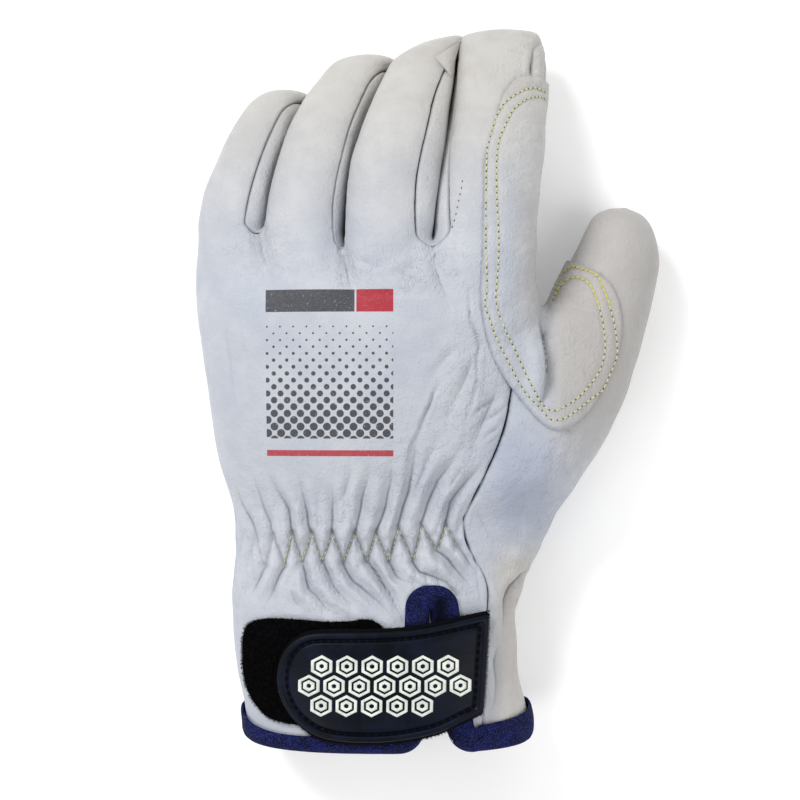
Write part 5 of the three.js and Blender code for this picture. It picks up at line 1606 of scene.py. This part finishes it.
# Painted shade for the fold attribute: in the stitch grooves, along the patch's cut edge and behind the
# crotch fold
patch_shade = np.maximum(stitched_in(patch, PATCH_STITCHES.values()) * 0.2, np.exp(-patch_edge / 0.45) * 0.5)
patch_shade = np.maximum(patch_shade, drop_shade)
patch_looks = {"fold": patch_shade, "crinkle": np.full(len(patch_shade), 0.45)}
patch_wall = thickened(patch, PATCH_HEIGHT - 0.2)
make_object("crotch_patch", patch_wall, LEATHER_MATERIAL, "crotch_patch", patch_looks)
patch_tree = patch.tree()


def on_glove(x, y, trees):
    """The place on the glove that the photograph shows at a pixel, and the way out of it there"""
    eye = Vector((0, 0, CAMERA_HEIGHT))
    floor_point = Vector((x - MIDDLE_PIXEL, MIDDLE_PIXEL - y, 0)) * PIXEL
    hits = [tree.ray_cast(eye, (floor_point - eye).normalized()) for tree in trees]
    hits = [hit for hit in hits if hit[0] is not None]
    if not hits:
        return None
    at, normal, _, _ = min(hits, key=lambda hit: hit[3])
    return at, normal if normal.z > 0 else -normal


HOLE_RINGS = ((0.05, 0.95), (-0.2, 0.855))  # heights, and radii as shares of the stitch's


def ring_of(middle, across, up, radius, sides):
    turns = [2 * math.pi * j / sides for j in range(sides)]
    return [middle + (across * math.cos(turn) + up * math.sin(turn)) * radius for turn in turns]


def tubes(pieces):
    """A surface of closed tubes, each through rings of places"""
    points, faces = [], []
    for rings in pieces:
        first, sides = len(points), len(rings[0])
        points += [tuple(point) for ring in rings for point in ring]
        last = len(points) - sides
        for start in range(first, last, sides):
            pairs = [(start + j, start + (j + 1) % sides) for j in range(sides)]
            faces += [[a, a + sides, b + sides, b] for a, b in pairs]
        faces.append(list(range(first, first + sides)))
        faces.append(list(range(last, last + sides))[::-1])
    return Surface(points, faces)


def along_run(run, reach, distance):
    """The place that far along a run, and the way out of it"""
    place = [np.interp(distance, reach, column) for column in run.T]
    return Vector(place[:3]), Vector(place[3:]).normalized()


def stitch_mesh(name, runs, material, holes=True, **sizes):
    """Stitches along runs of places. Each run is a list of places and ways out."""
    stitch = {**STITCH, **sizes}
    length, gap, radius, sides = (stitch[key] for key in ("length", "gap", "radius", "sides"))
    last_ring = stitch["rings"] - 1
    threads, dots = [], []
    for places in runs:
        run = np.array([[*place, *out] for place, out in places])
        reach = reach_along(run[:, :3])
        count = int(reach[-1] / (length + gap))
        for k in range(count):
            start = (k + 0.5) * reach[-1] / count - length / 2
            path = [along_run(run, reach, start + length * i / last_ring) for i in range(last_ring + 1)]
            heading = (path[-1][0] - path[0][0]).normalized()
            rings = []
            for i, (place, out) in enumerate(path):
                bow = math.sin(math.pi * i / last_ring)
                middle = place + out * (radius * (0.95 * bow - 0.45))
                side = heading.cross(out).normalized()
                rings.append(ring_of(middle, side, out, radius * (0.55 + 0.45 * bow), sides))
            threads.append(rings)
            place, out = along_run(run, reach, start + length + gap / 2)
            side = heading.cross(out).normalized()
            holes_here = [(place + out * height, radius * size) for height, size in HOLE_RINGS]
            dots.append([ring_of(middle, side, heading, size, sides) for middle, size in holes_here])
    make_object(name, tubes(threads), material)
    if holes:
        make_object(name + ".holes", tubes(dots), NEEDLE_HOLES)


def run_on_glove(line, trees, smoothly=True):
    pixels = curve_through(line, 6) if smoothly else evenly(line, 40 * len(line))
    hits = [on_glove(x, y, trees) for x, y in pixels]
    return [hit for hit in hits if hit]


back_tree = back.tree()
patch_runs = [run_on_glove(line, [patch_tree]) for line in PATCH_STITCHES.values()]
stitch_mesh("patch_stitches", patch_runs, YELLOW_THREAD)
# The seam was sewn twice over the thumb, with the thread's end left as a knot
TWICE = {"x": 44, "y": (29, 50)}  # to the right of x and between these, in millimetres


def sewn_twice(place):
    low, high = TWICE["y"]
    return place.x > TWICE["x"] and low < place.y < high


twice = [[place for place in run if sewn_twice(place[0])] for run in patch_runs]
stitch_mesh("patch_stitches.double", twice, BRIGHT_THREAD, holes=False, length=1.7, gap=0.3, radius=0.36)
# The elastic is sewn with every other leg of its zigzag on top
legs = [GATHER_LINE[i : i + 2] for i in range(FIRST_SEWN_LEG, len(GATHER_LINE) - 1)]
for first, (name, sizes) in enumerate(GATHER_THREADS.items()):
    gather_runs = [run_on_glove(leg, [back_tree], smoothly=False) for leg in legs[first::2]]
    stitch_mesh(name, gather_runs, YELLOW_THREAD, holes=False, **sizes)

# The hide left over at the middle finger's tip, folded down over its side strip
FLAP = {
    "corners": [(435, 57), (461, 41), (451, 76)],
    "lift": 1.0,
    "swell": 2.0,
    "steps": 12,
    "thickness": 0.9,
    "clearance": 0.35,
}


def folded_flap(trees):
    a, b, c = (np.array(corner, dtype=float) for corner in FLAP["corners"])
    steps = FLAP["steps"]
    heights = []
    rows = []
    for i in range(steps + 1):
        row = []
        for j in range(steps + 1):
            u, v = i / steps, j / steps
            x, y = mix(mix(a, b, v), mix(c, mix(c, b, 0.1), v), u)
            hit = on_glove(x, y, trees) or on_glove(x - 6, y, trees)
            swell = math.sin(math.pi * u) ** 0.6 * math.sin(math.pi * clamp(v * 0.9 + 0.05)) ** 0.6
            row.append([*hit[0], FLAP["lift"] + FLAP["swell"] * swell])
        rows.append(row)
    rows = np.array(rows)
    ground = rows[:, :, 2].copy()
    rows[:, :, 2] += rows[:, :, 3]
    for _ in range(30):
        relaxed(rows, 1, 1)
        for edge in (rows[0], rows[-1], rows[:, 0], rows[:, -1]):
            edge[1:-1, 2] += (edge[:-2, 2] + edge[2:, 2] - 2 * edge[1:-1, 2]) / 4
        rows[:, :, 2] = np.maximum(rows[:, :, 2], ground + FLAP["clearance"])
    return Sheet().grid(rows[:, :, :3])


flap = subdivided(folded_flap([back_tree, middle_strip.tree()]), 1)
make_object("fingertip_fold", thickened(flap, FLAP["thickness"]), LEATHER_MATERIAL)

# The dark stitches that hold the forefinger's side strip
STRIP_STITCHES = [(463, 178), (461, 190), (458, 204), (455, 218), (451, 230)]
strip_run = run_on_glove(STRIP_STITCHES, [back_tree])
stitch_mesh("strip_stitches", [strip_run], NEEDLE_HOLES, holes=False, length=0.7, gap=1.3, radius=0.17)

# The cuff's binding: a tape folded over the hem and both edges of the slit
BINDING = {"width": 7.0, "cloth": 1.1, "lift": 0.55, "pucker": 0.3}
# How wide the hem's tape shows, by the angle round the cuff, as a share of its width
HEM_SHARE = Table(
    "angle share",
    *[(-260, 0.7), (-232, 0.62), (-206, 0.8), (-180, 1.1), (-60, 1.0), (0, 1.3), (50, 1.1), (85, 0.9)],
)
HEM_STEPS = 150


def binding_section():
    """Places round the folded tape: how far in from the edge, and how far above the leather"""
    width, lift = BINDING["width"], BINDING["lift"]
    outer = lift + BINDING["cloth"]
    inner = -LEATHER - lift - BINDING["cloth"]
    fold = (outer - inner) / 2
    middle = (outer + inner) / 2
    section = [(width, lift), (width + 0.25, lift + 0.5), (width - 0.1, outer - 0.15), (width - 0.8, outer)]
    for u in np.linspace(width - 1.6, fold - 1, 4):
        section.append((u, outer + 0.12 * math.sin(math.pi * u / width)))
    for c, s in map(cos_sin, np.linspace(80, -80, 8)):
        section.append((fold - 1 - fold * c, middle + fold * s))
    section += [(u, inner) for u in np.linspace(fold, width, 4)]
    section += [(width, -LEATHER - lift), (2, -LEATHER - lift), (-0.3, -LEATHER / 2), (2, lift)]
    return section


def cuff_binding():
    width = BINDING["width"]
    section = binding_section()

    def inward(x, y, along_x, along_y):
        return lambda u: (x + along_x * u, y + along_y * u)

    def on_hem(angle):
        return lambda u: (hand_point(hem_y(angle) + u, angle).x, hem_y(angle) + u)

    def between(a, b, share):
        return lambda u: (mix(a(u)[0], b(u)[0], share), mix(a(u)[1], b(u)[1], share))

    def ring(place):
        points = []
        for u, lift in section:
            x, y = place(u)
            pucker = BINDING["pucker"] * noise.noise(Vector((x, y, 0)) / 2.6) * (1 if lift > 0 else 0.3)
            points.append(hand_point(y, angle_at(y, x), lift=lift + pucker))
        return points

    def hem_from(which):
        x, _ = corner_centre(which)
        return angle_at(HEM["middle"], x + which * 1.5)

    def side(which):
        top = CUFF_SLIT["apex"]
        places = []
        for c, s in map(cos_sin, np.linspace(86, 8, 10)):
            places.append(inward(slit_edge(top, which), top, which * c, s))
        centre_x, centre_y = corner_centre(which)
        for share in np.linspace(0.04, 1, 14):
            y = mix(top, centre_y, share)
            places.append(inward(slit_edge(y, which), y, which, 0))
        for c, s in map(cos_sin, np.linspace(10, 90, 8)):
            edge = (centre_x - which * SLIT_CORNER * c, centre_y - SLIT_CORNER * s)
            places.append(inward(*edge, which * c, s))
        places += [between(places[-1], on_hem(hem_from(which)), share) for share in (0.33, 0.66)]
        return [ring(place) for place in places]

    hem = []
    for angle in spaced_angles(HEM["middle"] + 6, hem_from(1), hem_from(-1) - 360, HEM_STEPS):
        points = []
        c, s = cos_sin(angle)
        for u, lift in section:
            turned = angle if angle < 90 else angle - 360
            y = hem_y(angle) + u * (HEM_SHARE.at("share", turned) if u > 1 else 1)
            around = Vector((c * 15, s * 15, u / 2.6))
            pucker = BINDING["pucker"] * noise.noise(around) * (1.3 if lift > 0 else 0.3)
            points.append(hand_point(y, angle, lift=lift + pucker))
        hem.append(points)
    rings = [*side(1), *hem, *side(-1)[::-1]]
    sheet = Sheet()
    sheet.points = [tuple(point) for points in rings for point in points]
    around = len(section)
    for r in range(len(rings)):
        start, following = r * around, (r + 1) % len(rings) * around
        for i in range(around):
            j = (i + 1) % around
            sheet.quads.append([start + i, start + j, following + j, following + i])
    return sheet


binding = subdivided(cuff_binding(), 1)
# Painted shade: the tape is darkened where it dips into the slit
SLIT_SHADE = {"x": 2.8, "width": 2.6, "span": (-60, -63)}
slit_middle = [(slit_edge(y, -1) + slit_edge(y, 1)) / 2 for y in binding.points[:, 1]]
slit_shade = bell(binding.points[:, 0] - slit_middle - SLIT_SHADE["x"], SLIT_SHADE["width"])
slit_shade *= fade(binding.points[:, 1], *SLIT_SHADE["span"]) * 0.9
make_object("cuff_binding", binding, TWILL, "cuff_binding", {"fold": slit_shade}, sharp=80)

# The strap, its badge and the pad that it closes on, by their upper and lower edges
STRAP = Table(
    "x top bottom",
    (-36.4, -84.6, -88.6),
    (-35.8, -81.6, -91.6),
    (-34.2, -77.6, -95.6),
    (-31.8, -74.6, -99.4),
    (-29.0, -72.6, -102.2),
    (-25.2, -71.5, -104.9),
    (-19.4, -71.3, -106.6),
    (-12.0, -71.2, -107.2),
    (-4.0, -71.0, -107.0),
    (4.0, -70.3, -105.8),
    (11.8, -68.8, -103.8),
    (19.4, -67.2, -100.6),
    (25.8, -66.0, -98.0),
)
STRAP_END_SLANT = 1.8
LOOP_PAD = Table(
    "x top bottom",
    (-48.6, -75.5, -84.0),
    (-47.6, -71.6, -90.0),
    (-45.2, -69.6, -95.0),
    (-41.0, -68.6, -99.4),
    (-36.0, -68.5, -101.0),
    (-30.0, -68.7, -101.6),
    (-23.0, -69.2, -102.0),
    (-16.0, -69.0, -102.0),
    (-9.5, -68.4, -101.8),
    (-5.5, -70.5, -100.8),
)
PAD_THICKNESS = 1.3
STRAP_LIFT = CLEARANCE + PAD_THICKNESS + 0.3
STRAP_THICKNESS = 1.4
BADGE_BASE = STRAP_LIFT + STRAP_THICKNESS + 0.1
BADGE_MARGIN = 0.9


def on_cuff(x, y, lift):
    return hand_point(y, angle_at(y, x), lift=lift)


def rooted(x, y, lift):
    """A place over the cuff, and the way out of it"""
    place = on_cuff(x, y, lift)
    return place, (on_cuff(x, y, lift + 1) - place).normalized()


def outline(shape, slant, spacing=0.9):
    """A plate's closed outline as places on the cuff, evenly spaced"""
    first, last = shape.places[0], shape.places[-1]
    xs = [mix(first, last, (1 - math.cos(math.pi * i / 60)) / 2) for i in range(61)]
    top = [(x, shape.at("top", x)) for x in xs]
    bottom = [(x - slant * smooth(x, last - 18, last), shape.at("bottom", x)) for x in xs]
    ring = np.array([*top, *bottom[::-1], top[0]])
    ring = evenly(ring, int(reach_along(ring)[-1] / spacing))[:-1]
    for _ in range(2):
        ring = (np.roll(ring, 1, axis=0) + 2 * ring + np.roll(ring, -1, axis=0)) / 4
    return ring


def distance_to(ring, points):
    """Each point's distance from the outline"""
    ahead = np.roll(ring, -1, axis=0)
    step = ahead - ring
    offset = points[:, None] - ring[None]
    t = np.clip((offset * step).sum(axis=2) / (step**2).sum(axis=1), 0, 1)
    return np.linalg.norm(offset - t[..., None] * step, axis=2).min(axis=1)


def drawn_in(ring, spine, distance):
    """The outline moved towards its spine until it is that far from where it was"""
    if distance <= 0:
        return mix(ring, spine, distance / 18)
    low, high = np.zeros(len(ring)), np.ones(len(ring))
    for _ in range(12):
        share = (low + high) / 2
        near = distance_to(ring, mix(ring, spine, share[:, None])) < distance
        low, high = np.where(near, share, low), np.where(near, high, share)
    return mix(ring, spine, ((low + high) / 2)[:, None])


def spine_of(shape, ring, ends):
    """The place on the plate's middle line across from each place on its outline"""
    first, last = ends
    xs = [mix(first, last, (x - shape.places[0]) / (shape.places[-1] - shape.places[0])) for x, _ in ring]
    return np.array([(x, (shape.at("top", x) + shape.at("bottom", x)) / 2) for x in xs])


def plate(shape, slant, profile, base, ends, margin=0.0):
    """A flat piece on the cuff. profile is its edge, as places in from the outline and lifts."""
    ring = outline(shape, slant)
    spine = spine_of(shape, ring, ends)
    ring = drawn_in(ring, spine, margin)
    rings = [(mix(ring, spine, share), base) for share in (1, 0.66, 0.33)]
    rings += [(drawn_in(ring, spine, distance), lift) for distance, lift in profile]
    inner, lift = rings[-1]
    rings += [(mix(inner, spine, share), lift) for share in (0.12, 0.25, 0.4, 0.55, 0.7, 0.85, 1)]
    rows = [[on_cuff(x, y, lift) for x, y in [*places, places[0]]] for places, lift in rings]
    return solid(Sheet().grid(rows))


def solid(sheet):
    """The closed surface of a sheet's quads, with its faces pointing out"""
    surface = Surface(sheet.points, sheet.quads)
    tri = surface.triangles()
    a, b, c = (surface.points[tri[:, i]] for i in range(3))
    volume = np.einsum("ij,ij->i", a, np.cross(b, c)).sum()
    return surface.turned() if volume < 0 else surface


pad_top = CLEARANCE + PAD_THICKNESS
pad_profile = [(0, CLEARANCE), (-0.1, CLEARANCE + 0.4), (0.05, pad_top - 0.3), (0.4, pad_top)]
PAD_ENDS = (-34, -18)
make_object("loop_pad", plate(LOOP_PAD, 0, pad_profile, CLEARANCE, PAD_ENDS), PILE, "loop_pad")
strap_top = STRAP_LIFT + STRAP_THICKNESS
strap_profile = [(0.1, STRAP_LIFT), (-0.1, STRAP_LIFT + 0.4), (0, strap_top - 0.3), (0.3, strap_top)]
BADGE_ENDS = (-19, 14)
strap = plate(STRAP, STRAP_END_SLANT, strap_profile, STRAP_LIFT, BADGE_ENDS)
make_object("strap", strap, WEBBING, "closure_strap")
BADGE_EDGE = [
    (0.0, 0.0), (-0.05, 0.5), (0.15, 0.95), (0.5, 1.2), (1.0, 1.3), (1.5, 1.2), (1.85, 0.95), (2.05, 0.5),
    (2.2, 0.3), (2.8, 0.3), (2.95, 0.5), (3.2, 0.8), (3.6, 0.9),
]
badge_profile = [(distance, BADGE_BASE + height) for distance, height in BADGE_EDGE]
badge_face = BADGE_BASE + BADGE_EDGE[-1][1]
badge = plate(STRAP, STRAP_END_SLANT, badge_profile, BADGE_BASE, BADGE_ENDS, BADGE_MARGIN)
make_object("badge", badge, RUBBER, "strap_badge")

badge_outline = outline(STRAP, STRAP_END_SLANT)
badge_spine = spine_of(STRAP, badge_outline, BADGE_ENDS)
groove = drawn_in(badge_outline, badge_spine, BADGE_MARGIN + 2.5)
groove_run = [rooted(x, y, BADGE_BASE + 0.42) for x, y in [*groove, groove[0]]]
stitch_mesh("badge_stitches", [groove_run], WEBBING, holes=False, length=1.9, gap=0.5, radius=0.3)

# The badge's raised pattern, rows of plain hexagonal cells
CELLS = {"pitch": 7.1, "x": -4.9, "y": -88.6, "rows": (6, 7, 6), "height": 0.5, "margin": 4.6, "reach": 3.4}
CELL_RINGS = [(3.45, 2.5), (1.8, 0.75)]  # outer and inner radius of each raised ring


def hexagon_cells():
    sheet = Sheet()
    field = drawn_in(badge_outline, badge_spine, CELLS["margin"])
    ahead = np.roll(field, -1, axis=0)

    def inside(x, y):
        crossing = (field[:, 1] > y) != (ahead[:, 1] > y)
        slope = (ahead[:, 0] - field[:, 0]) / np.where(crossing, ahead[:, 1] - field[:, 1], 1)
        return (crossing & (x < field[:, 0] + (y - field[:, 1]) * slope)).sum() % 2 == 1

    def around(x, y, radius):
        places = []
        for k in range(6):
            a, b = (math.radians(30 + 60 * i) for i in (k, k + 1))
            for share in (0, 0.33, 0.67):
                u, v = mix(math.cos(a), math.cos(b), share), mix(math.sin(a), math.sin(b), share)
                places.append((x + radius * u, y + radius * v))
        return [*places, places[0]]

    for r, count in enumerate(CELLS["rows"]):
        y = CELLS["y"] + (1 - r) * CELLS["pitch"] * math.sqrt(3) / 2
        for c in range(count):
            x = CELLS["x"] + (c - (count - 1) / 2) * CELLS["pitch"]
            if not all(inside(*place) for place in around(x, y, CELLS["reach"])):
                continue
            for outer, inner in CELL_RINGS:
                low, high = badge_face - 0.1, badge_face + CELLS["height"]
                profile = [(outer, low), (outer, high - 0.15), (outer - 0.15, high)]
                profile += [(inner + 0.15, high), (inner, high - 0.15), (inner, low), (outer, low)]
                rings = [(around(x, y, size), lift) for size, lift in profile]
                sheet.grid([[on_cuff(*place, lift) for place in places] for places, lift in rings])
    return solid(sheet)


make_object("badge_cells", hexagon_cells(), PALE_RUBBER, sharp=60)


FIBRE_RADIUS = 0.09


def fuzz(name, roots, length, material, seed):
    """Short fibres that stand on places with their ways out"""
    rand = random.Random(seed)
    points, faces = [], []
    for root, out in roots:
        lean = Vector((rand.uniform(-1, 1), rand.uniform(-1, 1), rand.uniform(-0.3, 0.6))) * 0.8
        way = (out + lean).normalized()
        side = way.orthogonal().normalized()
        reach = length * rand.uniform(0.4, 1.2)
        first = len(points)
        points += ring_of(root, side, way.cross(side), FIBRE_RADIUS, 3)
        bend = Vector((rand.uniform(-1, 1), rand.uniform(-1, 1), rand.uniform(-1, 1))) * 0.25 * reach
        points.append(root + way * reach + bend)
        faces += [[first + k, first + (k + 1) % 3, first + 3] for k in range(3)]
        faces.append([first + 2, first + 1, first])
    make_object(name, Surface([tuple(point) for point in points], faces), material)


def fuzz_roots(shape, count, lift, seed, keep):
    rand = random.Random(seed)
    roots = []
    while len(roots) < count:
        x = rand.uniform(shape.places[0], shape.places[-1])
        y = rand.uniform(shape.at("bottom", x), shape.at("top", x))
        if keep(x, y):
            roots.append(rooted(x, y, lift))
    return roots


def uncovered(x, y):
    """True where the strap doesn't cover the pad"""
    if x < STRAP.places[0] + 2:
        return True
    return y > STRAP.at("top", x) - 1.5 or y < STRAP.at("bottom", x) + 1.5


FIBRES = {
    "pad_pile": {"count": 5200, "length": 0.8},
    "pad_edge": {"count": 1400, "length": 0.9},
    "strap_edge": {"count": 1800, "length": 0.75},
}
pile = FIBRES["pad_pile"]
pile_roots = fuzz_roots(LOOP_PAD, pile["count"], pad_top - 0.1, 1, uncovered)
fuzz("loop_pad.pile", pile_roots, pile["length"], PILE, 2)


def edge_roots(shape, slant, ends, count, lifts, seed):
    rand = random.Random(seed)
    ring = outline(shape, slant, 0.4)
    outward = ring - spine_of(shape, ring, ends)
    roots = []
    for _ in range(count):
        i = rand.randrange(len(ring))
        place = on_cuff(*ring[i], rand.uniform(*lifts))
        roots.append((place, (Vector((*outward[i], 0)).normalized() + Vector((0, 0, 0.6))).normalized()))
    return roots


pad_edge, strap_edge = FIBRES["pad_edge"], FIBRES["strap_edge"]
pad_lifts, strap_lifts = (CLEARANCE + 0.2, pad_top), (STRAP_LIFT + 0.2, strap_top)
pad_roots = edge_roots(LOOP_PAD, 0, PAD_ENDS, pad_edge["count"], pad_lifts, 5)
fuzz("loop_pad.fuzz", pad_roots, pad_edge["length"], PILE, 6)
strap_roots = edge_roots(STRAP, STRAP_END_SLANT, BADGE_ENDS, strap_edge["count"], strap_lifts, 3)
fuzz("strap.fuzz", strap_roots, strap_edge["length"], WEBBING, 4)

# The floor, the light and the camera
FLOOR_HALF = 3  # metres
WORLD_STRENGTH = 0.47
SENSOR = 36
floor_mesh = bpy.data.meshes.new("floor")
corners = [(x * FLOOR_HALF, y * FLOOR_HALF, 0) for x, y in ((-1, -1), (1, -1), (1, 1), (-1, 1))]
floor_mesh.from_pydata(corners, [], [(0, 1, 2, 3)])
floor_mesh.materials.append(pale_board())
floor = placed("floor", floor_mesh)


# Each lamp's place and size in metres, and its power in watts
LIGHTS = {
    "key": ((-0.75, 0.9, 1.1), 0.5, 15),
    "left": ((-0.8, -0.7, 1.1), 0.8, 6.2),
    "right": ((0.9, -0.3, 1.1), 1.0, 7),
    "top": ((0.2, 1.1, 0.6), 0.8, 1.9),
}
for name, (place, size, power) in LIGHTS.items():
    light = bpy.data.lights.new(name, "AREA")
    light.shape = "SQUARE"
    light.size = size
    light.energy = power
    lamp = placed(name, light)
    lamp.location = place
    lamp.rotation_euler = Vector(place).to_track_quat("Z", "Y").to_euler()

world = bpy.data.worlds.new("studio")
world.use_nodes = True
background = world.node_tree.nodes["Background"]
background.inputs["Color"].default_value = (1.0, 1.0, 1.0, 1)
background.inputs["Strength"].default_value = WORLD_STRENGTH
bpy.context.scene.world = world
bpy.context.scene.view_settings.view_transform = "Standard"

camera_data = bpy.data.cameras.new("camera")
camera_data.sensor_width = SENSOR
camera_data.lens = SENSOR * CAMERA_HEIGHT / (2 * MIDDLE_PIXEL * PIXEL)
camera = placed("camera", camera_data)
camera.location = (0, 0, CAMERA_HEIGHT / 1000)
bpy.context.scene.camera = camera
